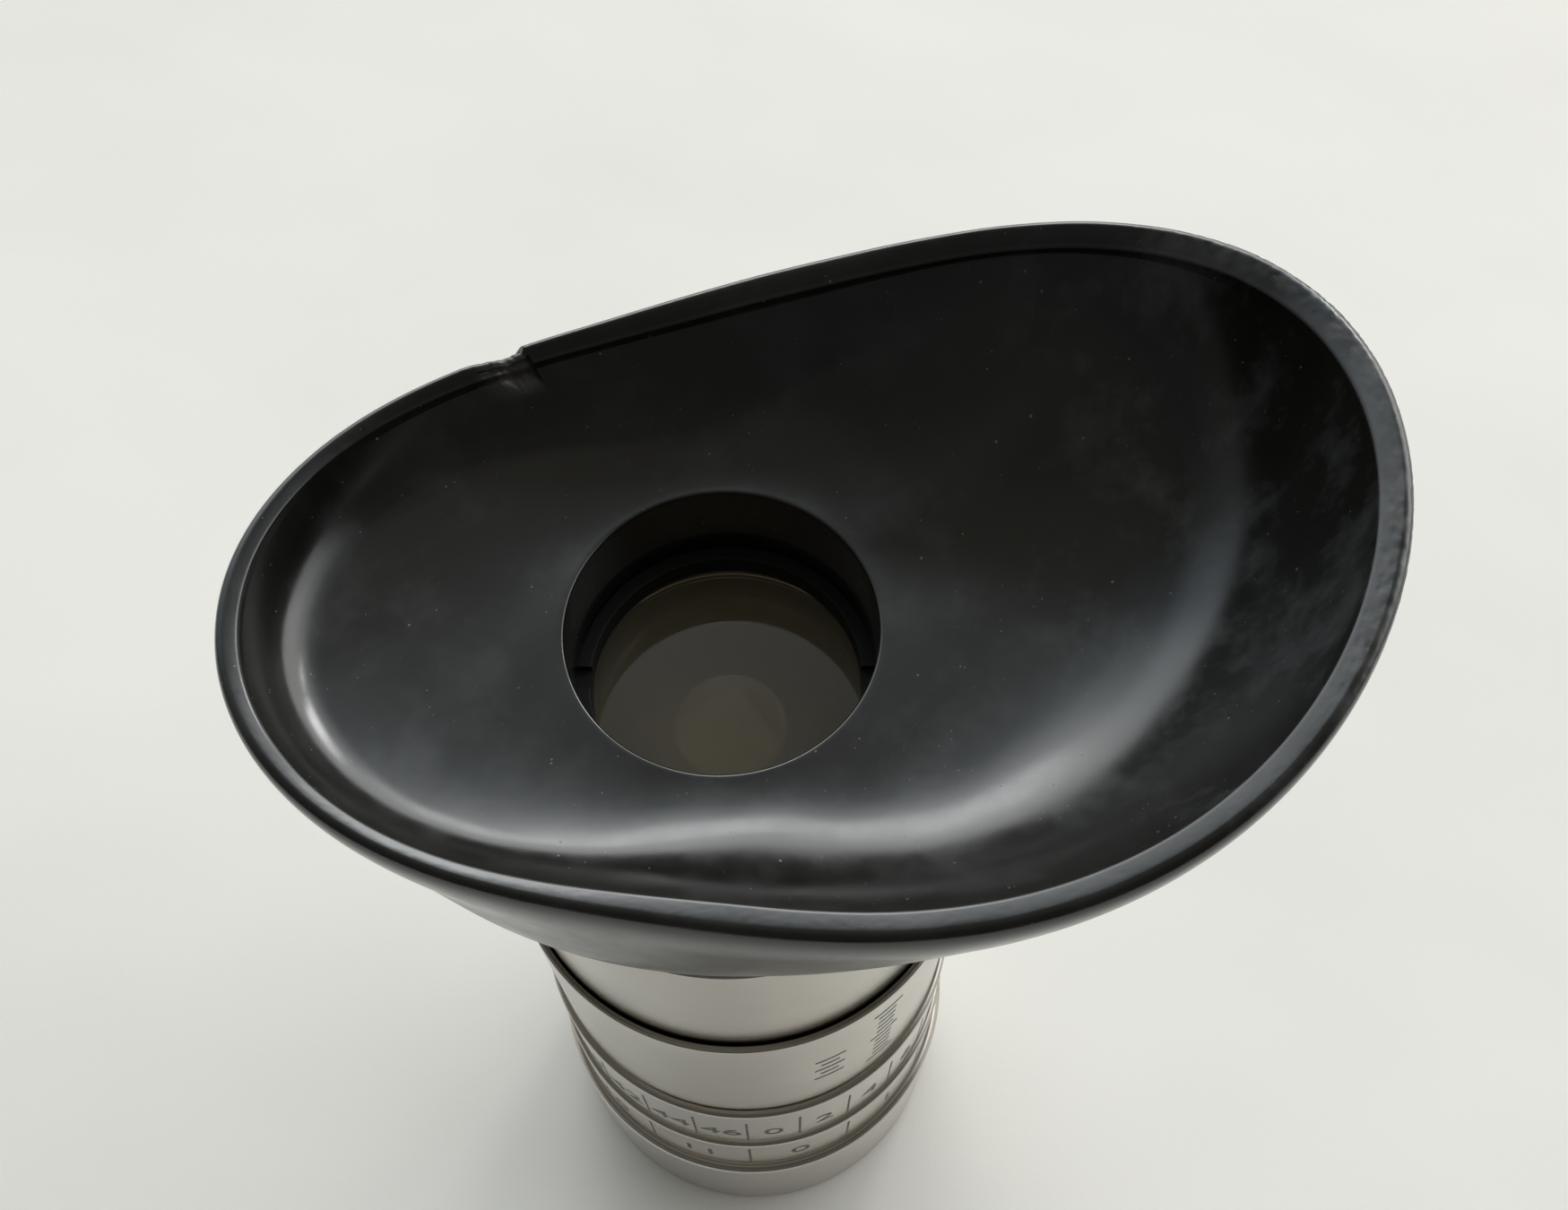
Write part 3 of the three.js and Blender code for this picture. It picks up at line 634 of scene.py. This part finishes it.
class Marks:
    """Engraved and filled marks gathered into one mesh, laid on a cylinder. Angles run from -Y to +X."""

    def __init__(self, radius):
        self.radius = radius
        self.points = []
        self.faces = []

    def place(self, across, height, proud):
        angle = across / self.radius
        reach = self.radius + proud
        return (reach * math.sin(angle), -reach * math.cos(angle), height)

    def add(self, outline_points, faces):
        start = len(self.points)
        self.points += outline_points
        self.faces += [tuple(start + index for index in face) for face in faces]

    def stroke(self, degrees, low, high, width):
        """An upright stroke with a rounded foot and head."""
        across = math.radians(degrees) * self.radius
        half = width / 2
        cap = 6
        rim = []
        for i in range(cap + 1):
            turn = math.pi * i / cap
            rim.append((across + half * math.cos(turn), high - half + half * math.sin(turn)))
        for i in range(cap + 1):
            turn = math.pi + math.pi * i / cap
            rim.append((across + half * math.cos(turn), low + half + half * math.sin(turn)))
        self.plate(rim)

    def bar(self, degrees, middle, height, width):
        """A short level bar, as wide along the ring as given."""
        across = math.radians(degrees) * self.radius
        half = width / 2
        rise = height / 2
        steps = 5
        rim = [(across - half + width * i / steps, middle - rise) for i in range(steps + 1)]
        rim += [(across + half - width * i / steps, middle + rise) for i in range(steps + 1)]
        self.plate(rim)

    def plate(self, rim):
        """A thin plate with this outline of (across, height) points, let into the cylinder."""
        count = len(rim)
        top = [self.place(x, z, MARK_PROUD) for x, z in rim]
        bottom = [self.place(x, z, -MARK_DEPTH) for x, z in rim]
        sides = [(i, count + i, count + (i + 1) % count, (i + 1) % count) for i in range(count)]
        self.add(top + bottom, [tuple(range(count)), tuple(range(2 * count - 1, count - 1, -1)), *sides])

    def text(self, words, degrees, middle, size):
        """A numeral standing upright, centred on an angle and a height, sliced finely enough to bend."""
        curve = bpy.data.curves.new("numeral", "FONT")
        curve.body = words
        curve.size = size
        curve.align_x = "CENTER"
        curve.align_y = "CENTER"
        curve.extrude = (MARK_PROUD + MARK_DEPTH) / 2
        curve.resolution_u = 4
        holder = new_object("numeral", curve)
        bpy.context.view_layer.update()
        flat = bpy.data.meshes.new_from_object(holder.evaluated_get(bpy.context.evaluated_depsgraph_get()))
        bpy.data.objects.remove(holder)
        work = bmesh.new()
        work.from_mesh(flat)
        for cut in range(-SLICES, SLICES + 1):
            geometry = [*work.verts, *work.edges, *work.faces]
            bmesh.ops.bisect_plane(work, geom=geometry, plane_co=(SLICE * cut, 0, 0), plane_no=(1, 0, 0))
        work.to_mesh(flat)
        work.free()
        across = math.radians(degrees) * self.radius
        sunk = (MARK_PROUD - MARK_DEPTH) / 2
        points = [self.place(across + v.co.x, middle + v.co.y, sunk + v.co.z) for v in flat.vertices]
        self.add(points, [tuple(p.vertices) for p in flat.polygons])

    def finish(self, name, node):
        mesh = bpy.data.meshes.new(name)
        mesh.from_pydata([tuple(c * MM for c in p) for p in self.points], [], self.faces)
        work = bmesh.new()
        work.from_mesh(mesh)
        bmesh.ops.remove_doubles(work, verts=work.verts, dist=1e-8)
        bmesh.ops.recalc_face_normals(work, faces=work.faces)
        work.to_mesh(mesh)
        work.free()
        return finished(new_object(name, mesh), node, "engraving")


def make_marks():
    dial_low, dial_high = box_mm("dial_ring")
    dial = Marks(dial_high[0])
    steps = 24
    for i in range(steps):
        angle = 360.0 * i / steps
        dial.stroke(angle, dial_low[2] + 0.6, dial_high[2] - 2.4, 0.18)
        dial.text(str(2 * i), angle + 180.0 / steps, dial_low[2] + 3.5, 3.2)
    dial.finish("dial_marks", "dial_ring")

    sleeve_low, sleeve_high = box_mm("lower_sleeve")
    sleeve = Marks(sleeve_high[1])
    for i in range(12):
        angle = 30.0 * i
        if i % 6 != 3:  # the screws are there
            sleeve.stroke(angle, sleeve_low[2] + 1.4, sleeve_high[2] - 1.2, 0.2)
        sleeve.text(str(i), angle + 15.0, sleeve_low[2] + 4.2, 3.4)
    sleeve.finish("sleeve_marks", "lower_sleeve")

    focus_low, focus_high = box_mm("focus_ring")
    focus = Marks(focus_high[1])
    middle = (focus_low[2] + focus_high[2]) / 2
    pitch = 1.25
    for i in range(-2, 3):
        focus.bar(23.5, middle - 0.4 + pitch * i, 0.3, 2.1 if i % 2 == 0 else 1.3)
    for i in range(-5, 6):
        focus.bar(40.0, middle + pitch * i, 0.3, 2.3 if i % 5 == 0 else 1.4)
    focus.finish("focus_marks", "focus_ring")


# ------------------------------------------------------------------ eyecup

CUP_STEPS = 840
CHIP_STEPS = 4
OUTSIDE_ROWS = 18  # in each half of the outside
WALL_ROWS = 36
FLOOR_ROWS = 40
FLOOR_CROWDING = 1.15  # above 1, the floor's rows lie closer together near the wall
SHOULDER_ROWS = 16
CROWN_ROWS = 10
HOLE_ROWS = 6
CUP_BASE = 68.9
CUP_NECK = 13.7
CUP_FLOOR = 80.0
EYE_HOLE = 7.5
HOLE_ROUND = 0.16
BUSH_SEAT = 11.55
BUSH_CEILING = 74.9
LIP_DROP = 1.1

RIM_CENTRE = 3.9
RIM_MEAN = 20.85
RIM_LEAN_X = 0.15
RIM_LEAN_Y = -0.5
RIM_OVAL = 4.16
RIM_OVAL_TURN = math.radians(4.1)
RIM_EGG = -1.0
RIM_CORNERS = 0.4
RIM_CORNER_TURN = math.radians(10.2)
RIM_FLATS = -0.21
RIM_BASE_HEIGHT = 86.5
RIM_SLOPE = 0.16
RIM_SWEEP = 0.0044

BELLY = {"x": 1.4, "z": 73.0, "a": 19.8, "b": 14.9, "power": 2.2}

# The knee, where the floor turns up into the wall, every 20 degrees from +X: how far it lies inwards of the
# lip's inner edge, how high above the middle of the floor, and the least slope of the floor as it gets there.
# It follows the wing up at the back of the broad end. The wall carries on at that slope for a share of its
# width before it turns up.
KNEE_INSET = (5.7, 4.2, 2.2, 2.5, 2.4, 2.9, 3.7, 4.2, 3.2, 2.5, 2.8, 3.6, 4.3, 5.0, 5.6, 6.5, 7.6, 7.2)
KNEE_RISE = (2.2, 4.2, 7.6, 5.8, 2.9, 1.5, 1.1, 1.1, 1.2, 1.0, 0.8, 0.7, 0.6, 0.6, 0.6, 0.7, 0.9, 1.3)
KNEE_SLOPE = (
    0.36, 0.36, 0.36, 0.36, 0.36, 0.36, 0.36, 0.32, 0.24, 0.2, 0.2, 0.28, 0.36, 0.36, 0.36, 0.36, 0.36, 0.36,
)
COVE_REACH = (
    0.75, 0.7, 0.6, 0.5, 0.38, 0.33, 0.33, 0.4, 0.65, 0.85, 0.85, 0.75, 0.75, 0.75, 0.75, 0.75, 0.75, 0.75,
)
SWEEP_POWER = 1.4  # a steeper floor climbs towards the knee with at least about this power
LEAST_POWER = 1.2

# A bitten chip in the rim and two stretches rubbed rough: middle and half width in degrees.
CHIP = (141.6, 4.2)
ROUGH = ((24.0, 19.0), (347.0, 13.0))


def column_angles():
    """Even steps round the cup, each split further beside the chip."""
    even = np.degrees(np.arange(CUP_STEPS) * TAU / CUP_STEPS)
    near = np.abs(even - CHIP[0]) < 1.8 * CHIP[1]
    step = 360.0 / CUP_STEPS
    extra = [even[near] + step * part / CHIP_STEPS for part in range(1, CHIP_STEPS)]
    return np.radians(np.sort(np.concatenate([even, *extra])))


ANGLES = column_angles()
CUP_COLUMNS = len(ANGLES)


def rim_radius(angle):
    lean = RIM_LEAN_X * np.cos(angle) + RIM_LEAN_Y * np.sin(angle)
    oval = RIM_OVAL * np.cos(2 * (angle - RIM_OVAL_TURN))
    egg = RIM_EGG * np.cos(3 * angle)
    corners = RIM_CORNERS * np.cos(4 * (angle - RIM_CORNER_TURN))
    return RIM_MEAN + lean + oval + egg + corners + RIM_FLATS * np.cos(5 * angle)


def rim_points(inset, drop):
    """A ring of points near the rim, so far inwards of it and below it."""
    radius = rim_radius(ANGLES) - inset
    x = RIM_CENTRE + radius * np.cos(ANGLES)
    z = RIM_BASE_HEIGHT + RIM_SLOPE * x + RIM_SWEEP * x * x - drop
    return np.stack([x, radius * np.sin(ANGLES), z], -1)


def around(stations):
    """A value that varies smoothly round the cup, from stations at even steps starting at +X."""
    count = len(stations)
    place = ANGLES / TAU * count
    first = np.floor(place).astype(int)
    f = place - first
    weights = ((1 - f) ** 3, 3 * f**3 - 6 * f**2 + 4, -3 * f**3 + 3 * f**2 + 3 * f + 1, f**3)
    return sum(w * np.take(stations, (first + i - 1) % count) for i, w in enumerate(weights)) / 6


def oval_points(oval):
    """A ring of points on a squarish oval."""
    c = np.cos(ANGLES)
    s = np.sin(ANGLES)
    x = oval["x"] + oval["a"] * np.sign(c) * np.abs(c) ** (2 / oval["power"])
    y = oval["b"] * np.sign(s) * np.abs(s) ** (2 / oval["power"])
    return np.stack([x, y, np.full(CUP_COLUMNS, oval["z"])], -1)


def circle_points(radius, height, angles=ANGLES):
    return np.stack([radius * np.cos(angles), radius * np.sin(angles), np.full(CUP_COLUMNS, height)], -1)


def through(a, b, c, steps):
    """Rings of points along a centripetal Catmull-Rom curve through three rings."""
    knots = [2 * a - b, a, b, c, 2 * c - b]
    rings = []
    for i in (1, 2):
        p0, p1, p2, p3 = knots[i - 1:i + 3]
        d0, d1, d2 = (np.sqrt(np.linalg.norm(step, axis=1))[:, None] for step in (p1 - p0, p2 - p1, p3 - p2))
        start = ((p1 - p0) / d0 - (p2 - p0) / (d0 + d1) + (p2 - p1) / d1) * d1
        end = ((p2 - p1) / d1 - (p3 - p1) / (d1 + d2) + (p3 - p2) / d2) * d1
        for step in range(steps):
            t = step / steps
            rings.append(
                (2 * t**3 - 3 * t**2 + 1) * p1 + (t**3 - 2 * t**2 + t) * start
                + (3 * t**2 - 2 * t**3) * p2 + (t**3 - t**2) * end
            )
    return [*rings, c]


def bend(a, control, b, steps):
    """Rings of points along a quadratic curve from ring a to ring b, without ring a itself."""
    shares = [(i + 1) / steps for i in range(steps)]
    return [(1 - t) ** 2 * a + 2 * t * (1 - t) * control + t * t * b for t in shares]


def angle_from(centre):
    """Each column's angle from a direction in degrees, signed."""
    return (np.degrees(ANGLES) - centre + 180.0) % 360.0 - 180.0


LIP_SHOULDER = 0.78
LIP_INNER = 1.52
LIP_WALL = 1.66
LIP_NARROWING = 0.28  # towards -X
# How much further in and down each ring of the inner edge's rounding lies.
LIP_EDGE = ((0.06, 0.03), (0.10, 0.075), (0.125, 0.14), (0.135, 0.22))
LIP_FOOT = 0.62  # how far below the crown the wall takes over
SHOULDER_REACH = 0.36  # how far the outside's last stretch runs on before the shoulder bends over
CROWN_POWER = 1.3
LIP_LEAN = 0.15
LIP_LEAN_BEHIND = 0.5
LIP_START = 3  # rows of the outside that the lip's long shoulder takes over


def lip_narrowing():
    return LIP_NARROWING * faded(-np.cos(ANGLES), 0.1, 0.9)


def lip_lean_behind():
    return LIP_LEAN_BEHIND * faded(np.sin(ANGLES), 0.0, 0.9)


def lip_rings(start):
    """The lip: a long rounded outer shoulder, a crown that leans inwards, and a crisp inner edge."""
    edge = rim_points(0.0, LIP_DROP)
    crown = rim_points(LIP_SHOULDER, 0.0)
    control = edge + (edge - start) * SHOULDER_REACH
    control[:, 2] = crown[:, 2]
    lean = LIP_LEAN + lip_lean_behind()
    narrowing = lip_narrowing()
    rings = bend(start, control, crown, SHOULDER_ROWS)
    for i in range(1, CROWN_ROWS + 1):
        share = i / CROWN_ROWS
        inset = LIP_SHOULDER + (LIP_INNER - narrowing - LIP_SHOULDER) * share
        rings.append(rim_points(inset, lean * share**CROWN_POWER))
    for further, drop in LIP_EDGE:
        rings.append(rim_points(LIP_INNER - narrowing + further, lean + drop))
    return rings


def knee_points():
    """The ring along which the floor turns up into the wall."""
    knee = rim_points(LIP_WALL - lip_narrowing() + around(KNEE_INSET), 0.0)
    knee[:, 2] = CUP_FLOOR + around(KNEE_RISE)
    return knee


def slope_towards(target, contour, across):
    """How steeply a surface leaves a contour for a target ring, if it rises by `across` square to it."""
    tangent = np.roll(contour, -1, axis=0) - np.roll(contour, 1, axis=0)
    tangent /= np.linalg.norm(tangent[:, :2], axis=1)[:, None]
    ahead = (target - contour)[:, :2]
    ahead /= np.linalg.norm(ahead, axis=1)[:, None]
    outwards = ahead[:, 0] * tangent[:, 1] - ahead[:, 1] * tangent[:, 0]
    beside = ahead[:, 0] * tangent[:, 0] + ahead[:, 1] * tangent[:, 1]
    return across * outwards + tangent[:, 2] * beside


def bowl_rings(inner_edge, knee, hole_edge):
    """The wall, the cove and the floor, from the lip's inner edge to the edge of the eye hole."""
    rise = knee[:, 2] - CUP_FLOOR
    run = np.linalg.norm((knee - hole_edge)[:, :2], axis=1)
    across = np.hypot(around(KNEE_SLOPE), SWEEP_POWER * rise / run)
    cove = knee + (inner_edge - knee) * around(COVE_REACH)[:, None]
    climb = slope_towards(inner_edge, knee, across)
    cove[:, 2] = knee[:, 2] + climb * np.linalg.norm((cove - knee)[:, :2], axis=1)
    power = np.maximum(LEAST_POWER, -slope_towards(hole_edge, knee, across) * run / rise)
    rings = [inner_edge] + bend(inner_edge, cove, knee, WALL_ROWS)
    for share in 1 - np.linspace(0.0, 1.0, FLOOR_ROWS + 1)[1:] ** FLOOR_CROWDING:
        ring = hole_edge + (knee - hole_edge) * share
        ring[:, 2] = CUP_FLOOR + rise * share**power
        rings.append(ring)
    return rings


def eyecup():
    neck = circle_points(CUP_NECK, CUP_BASE)
    outer_edge = rim_points(0.0, LIP_DROP)
    inner_edge = rim_points(LIP_WALL - lip_narrowing(), LIP_FOOT + lip_lean_behind())
    knee = knee_points()
    bearing = np.arctan2(knee[:, 1], knee[:, 0])
    hole_edge = circle_points(EYE_HOLE + HOLE_ROUND, CUP_FLOOR, bearing)
    neck_step = [circle_points(CUP_NECK - 0.12, CUP_BASE), circle_points(CUP_NECK, CUP_BASE + 0.12)]
    outside = neck_step + through(neck, oval_points(BELLY), outer_edge, OUTSIDE_ROWS)[1:-LIP_START]
    lip = lip_rings(outside[-1])
    inside = bowl_rings(inner_edge, knee, hole_edge)
    hole = []
    for i in range(1, HOLE_ROWS + 1):
        turn = math.pi / 2 * i / HOLE_ROWS
        radius = EYE_HOLE + HOLE_ROUND - HOLE_ROUND * math.sin(turn)
        height = CUP_FLOOR - HOLE_ROUND + HOLE_ROUND * math.cos(turn)
        hole.append(circle_points(radius, height, bearing))
    hole += [circle_points(EYE_HOLE, height, bearing) for height in (79.5, 78.0, 76.5, BUSH_CEILING + 0.15)]
    under = [
        circle_points(EYE_HOLE + 0.15, BUSH_CEILING, bearing),
        circle_points(BUSH_SEAT, BUSH_CEILING),
        circle_points(BUSH_SEAT, BUSH_CEILING - 0.1),
        circle_points(BUSH_SEAT, CUP_BASE + 0.1),
        circle_points(BUSH_SEAT + 0.1, CUP_BASE),
    ]
    rings = np.array(outside + lip + inside + hole + under)
    crown_row = len(outside) + SHOULDER_ROWS
    along = profile_distance(rings, crown_row)
    wave_surface(rings)
    worn = wear_rim(rings, along)
    mesh = bpy.data.meshes.new("eyecup")
    mesh.from_pydata((rings.reshape(-1, 3) * MM).tolist(), [], grid_faces(len(rings), CUP_COLUMNS))
    mesh.polygons.foreach_set("use_smooth", [True] * len(mesh.polygons))
    layer = mesh.attributes.new("wear", "FLOAT", "POINT")
    layer.data.foreach_set("value", worn.astype(np.float32).ravel())
    work = bmesh.new()
    work.from_mesh(mesh)
    if work.calc_volume(signed=True) < 0:
        bmesh.ops.reverse_faces(work, faces=work.faces)
    work.to_mesh(mesh)
    work.free()
    return new_object("eyecup_polished", mesh)


def profile_distance(rings, crown_row):
    """How far each point lies along its column's outline from the crown of the lip, inwards counted up."""
    steps = np.linalg.norm(np.diff(rings, axis=0), axis=2)
    along = np.concatenate([np.zeros((1, CUP_COLUMNS)), np.cumsum(steps, axis=0)])
    return along - along[crown_row]


def faded(value, low, high):
    """A smooth rise from 0 at low to 1 at high."""
    share = np.clip((value - low) / (high - low), 0.0, 1.0)
    return share * share * (3 - 2 * share)


def noise_at(points, scale):
    return np.array([noise.noise(Vector(point) * scale) for point in points])


def wear_rim(rings, along):
    """Takes the chip and the small nicks out of the lip, and returns how worn each point is, from 0 to 1."""
    away = angle_from(CHIP[0])
    tooth = faded(away, -CHIP[1], -CHIP[1] + 0.8)
    bitten = tooth * (1 - faded(away, -0.3 * CHIP[1], CHIP[1]))
    rubbed = np.zeros(CUP_COLUMNS)
    for middle, half in ROUGH:
        rubbed = np.maximum(rubbed, np.clip(1.3 - np.abs(angle_from(middle)) / half, 0.0, 1.0))
    outwards = np.stack([np.cos(ANGLES), np.sin(ANGLES), np.zeros(CUP_COLUMNS)], -1)
    worn = np.zeros(along.shape)
    for row in np.flatnonzero((along.max(axis=1) > -2.5) & (along.min(axis=1) < 3.2)):
        t = along[row]
        lump = noise_at(rings[row], 1.3)
        fine = noise_at(rings[row], 4.5)
        scoop = faded(t, -1.6, -0.5) * (1 - faded(t, 1.3, 2.6))
        bite = bitten * scoop * (0.30 + 0.16 * lump + 0.05 * fine)
        edge_share = faded(t, -1.4, -0.5) * (1 - faded(t, 0.2, 0.9))
        rub = (0.008 + 0.055 * rubbed) * np.maximum(0.0, fine + 0.1) * edge_share
        down = np.maximum(0.0, bite) + rub
        rings[row][:, 2] -= down
        rings[row] += outwards * (np.where(t > 0.3, 0.5, -0.35) * np.maximum(0.0, bite) - 0.5 * rub)[:, None]
        edge = faded(t, -1.6, -0.6) * (1 - faded(t, 0.5, 1.1))
        spots = np.clip(1.8 * noise_at(rings[row], 1.6) + 0.1, 0.0, 1.0)
        torn = 0.95 * bitten * scoop * (0.8 + 0.4 * lump)
        worn[row] = np.clip(edge * (0.03 + 0.4 * rubbed) * spots + torn, 0.0, 1.0)
    return worn


def wave_surface(rings):
    """The slight waves that hand polishing leaves."""
    x, y = rings[:, :, 0], rings[:, :, 1]
    rings[:, :, 2] += 0.012 * np.sin(0.55 * x + 0.8) * np.cos(0.47 * y) + 0.006 * np.sin(1.3 * x - 0.9 * y)


# ------------------------------------------------------------------ stage


FLOOR_DROP = 0.02  # keeps the paper clear of the nosepiece's foot


def make_floor():
    size = 900.0
    cells = 12
    points = [
        (size * (i / cells - 0.5), size * (j / cells - 0.5), -FLOOR_DROP)
        for j in range(cells + 1) for i in range(cells + 1)
    ]
    faces = []
    for j in range(cells):
        for i in range(cells):
            corner = j * (cells + 1) + i
            faces.append((corner, corner + 1, corner + cells + 2, corner + cells + 1))
    mesh = bpy.data.meshes.new("floor")
    mesh.from_pydata([tuple(c * MM for c in p) for p in points], [], faces)
    mesh.materials.append(paper())
    floor = new_object("floor", mesh)


def area_light(name, place, aim, size, power, color):
    light = bpy.data.lights.new(name, "AREA")
    light.shape = "RECTANGLE"
    light.size, light.size_y = size
    light.energy = power
    light.color = color
    holder = new_object(name, light)
    holder.location = place
    holder.rotation_euler = (Vector(aim) - Vector(place)).to_track_quat("-Z", "Y").to_euler()
    return holder


def ramp(tree, value, stops):
    """A colour ramp over a 0 to 1 value, easing from one stop to the next."""
    made = tree.nodes.new("ShaderNodeValToRGB")
    made.color_ramp.interpolation = "EASE"
    elements = made.color_ramp.elements
    while len(elements) < len(stops):
        elements.new(0.5)
    for element, (position, color) in zip(elements, stops):
        element.position = position
        element.color = (*color, 1.0)
    tree.links.new(value, made.inputs["Fac"])
    return made.outputs["Color"]


def world_math(tree, operation, a, b):
    made = tree.nodes.new("ShaderNodeMath")
    made.operation = operation
    for socket, value in zip(made.inputs, (a, b)):
        if isinstance(value, bpy.types.NodeSocket):
            tree.links.new(value, socket)
        else:
            socket.default_value = value
    return made.outputs[0]


def world_mix(tree, blend, a, b):
    made = tree.nodes.new("ShaderNodeMix")
    made.data_type = "RGBA"
    made.blend_type = blend
    made.inputs[0].default_value = 1.0
    tree.links.new(a, made.inputs[6])
    tree.links.new(b, made.inputs[7])
    return made.outputs[2]


WINDOW_STRENGTH = 5.2

# The room: how bright it is by compass direction, where 0 degrees is +X and 90 degrees is +Y, and by height.
WINDOWS_BY_AZIMUTH = (
    (-180, (0.010, 0.012, 0.014)), (-24, (0.010, 0.010, 0.010)), (0, (0.36, 0.37, 0.38)),
    (20, (0.58, 0.59, 0.59)), (40, (0.56, 0.56, 0.55)), (64, (0.50, 0.52, 0.53)), (84, (0.60, 0.62, 0.62)),
    (106, (0.70, 0.72, 0.72)), (128, (0.38, 0.41, 0.43)), (150, (0.12, 0.14, 0.16)), (172, (0.02, 0.025, 0.03)),
)
WINDOWS_BY_HEIGHT = (
    (-4, (0.10, 0.10, 0.10)), (6, (0.75, 0.75, 0.75)), (14, (1.0, 1.0, 1.0)), (30, (1.0, 1.0, 1.0)),
    (42, (0.62, 0.64, 0.66)), (54, (0.17, 0.19, 0.21)), (68, (0.035, 0.04, 0.045)), (90, (0.012, 0.012, 0.012)),
)
ROOM_BY_AZIMUTH = (
    (-180, (0.8, 0.8, 0.8)), (-150, (0.30, 0.30, 0.30)), (-90, (0.22, 0.22, 0.22)), (-30, (0.30, 0.30, 0.30)),
    (0, (0.8, 0.8, 0.8)), (90, (1.0, 1.0, 1.0)), (179, (0.8, 0.8, 0.8)),
)
ROOM_BY_HEIGHT = (
    (-10, (0.30, 0.29, 0.27)), (5, (0.20, 0.19, 0.165)), (35, (0.13, 0.125, 0.11)), (58, (0.03, 0.03, 0.026)),
    (90, (0.0, 0.0, 0.0)),
)
CEILING_BY_HEIGHT = (
    (25, (0.0, 0.0, 0.0)), (48, (0.07, 0.067, 0.058)), (64, (0.18, 0.172, 0.15)), (90, (0.21, 0.20, 0.175)),
)


def make_lights():
    target = (0.0, 0.0, 0.05)
    area_light("window_right", (0.50, 1.00, 0.72), target, (0.24, 0.30), 2.4, (1.0, 0.99, 0.97))
    area_light("window_small", (0.76, 0.80, 0.92), target, (0.12, 0.14), 0.5, (1.0, 0.99, 0.97))
    area_light("window_left", (-0.14, 1.12, 0.74), target, (0.50, 0.34), 1.8, (0.95, 0.98, 1.0))
    fill = area_light("fill", (-0.15, -0.1, 1.7), target, (1.6, 1.6), 2.8, (1.0, 0.98, 0.95))
    fill.visible_glossy = False
    world = bpy.data.worlds.new("room")
    bpy.context.scene.world = world
    world.use_nodes = True
    tree = world.node_tree
    direction = tree.nodes.new("ShaderNodeTexCoord")
    split = tree.nodes.new("ShaderNodeSeparateXYZ")
    tree.links.new(direction.outputs["Generated"], split.inputs[0])
    turn = world_math(tree, "ARCTAN2", split.outputs["Y"], split.outputs["X"])
    azimuth = world_math(tree, "ADD", world_math(tree, "DIVIDE", turn, TAU), 0.5)
    rise = world_math(tree, "ARCSINE", split.outputs["Z"], 0.0)
    height = world_math(tree, "ADD", world_math(tree, "DIVIDE", rise, math.pi), 0.5)
    round_room = ramp(tree, azimuth, [(degrees / 360 + 0.5, color) for degrees, color in WINDOWS_BY_AZIMUTH])
    up_room = ramp(tree, height, [(degrees / 180 + 0.5, color) for degrees, color in WINDOWS_BY_HEIGHT])
    plain_up = ramp(tree, height, [(degrees / 180 + 0.5, color) for degrees, color in ROOM_BY_HEIGHT])
    plain_round = ramp(tree, azimuth, [(degrees / 360 + 0.5, color) for degrees, color in ROOM_BY_AZIMUTH])
    ceiling = ramp(tree, height, [(degrees / 180 + 0.5, color) for degrees, color in CEILING_BY_HEIGHT])
    plain = world_mix(tree, "ADD", world_mix(tree, "MULTIPLY", plain_round, plain_up), ceiling)
    windows = tree.nodes.new("ShaderNodeVectorMath")
    windows.operation = "SCALE"
    windows.inputs["Scale"].default_value = WINDOW_STRENGTH
    tree.links.new(world_mix(tree, "MULTIPLY", round_room, up_room), windows.inputs[0])
    room = world_mix(tree, "ADD", windows.outputs[0], plain)
    tree.links.new(room, tree.nodes["Background"].inputs["Color"])


def make_camera():
    camera = bpy.data.cameras.new("camera")
    camera.sensor_width = 36.0
    camera.lens = 34.99
    camera.clip_start = 0.005
    camera.clip_end = 20.0
    holder = new_object("camera", camera)
    holder.location = (0.00331, -0.03320, 0.14433)
    holder.rotation_euler = (math.radians(28.09), math.radians(0.315), 0.0)
    bpy.context.scene.camera = holder


make_barrel()
make_marks()
standing_for(eyecup(), "eyecup")
make_floor()
make_lights()
make_camera()
bpy.context.scene.view_settings.view_transform = "Standard"
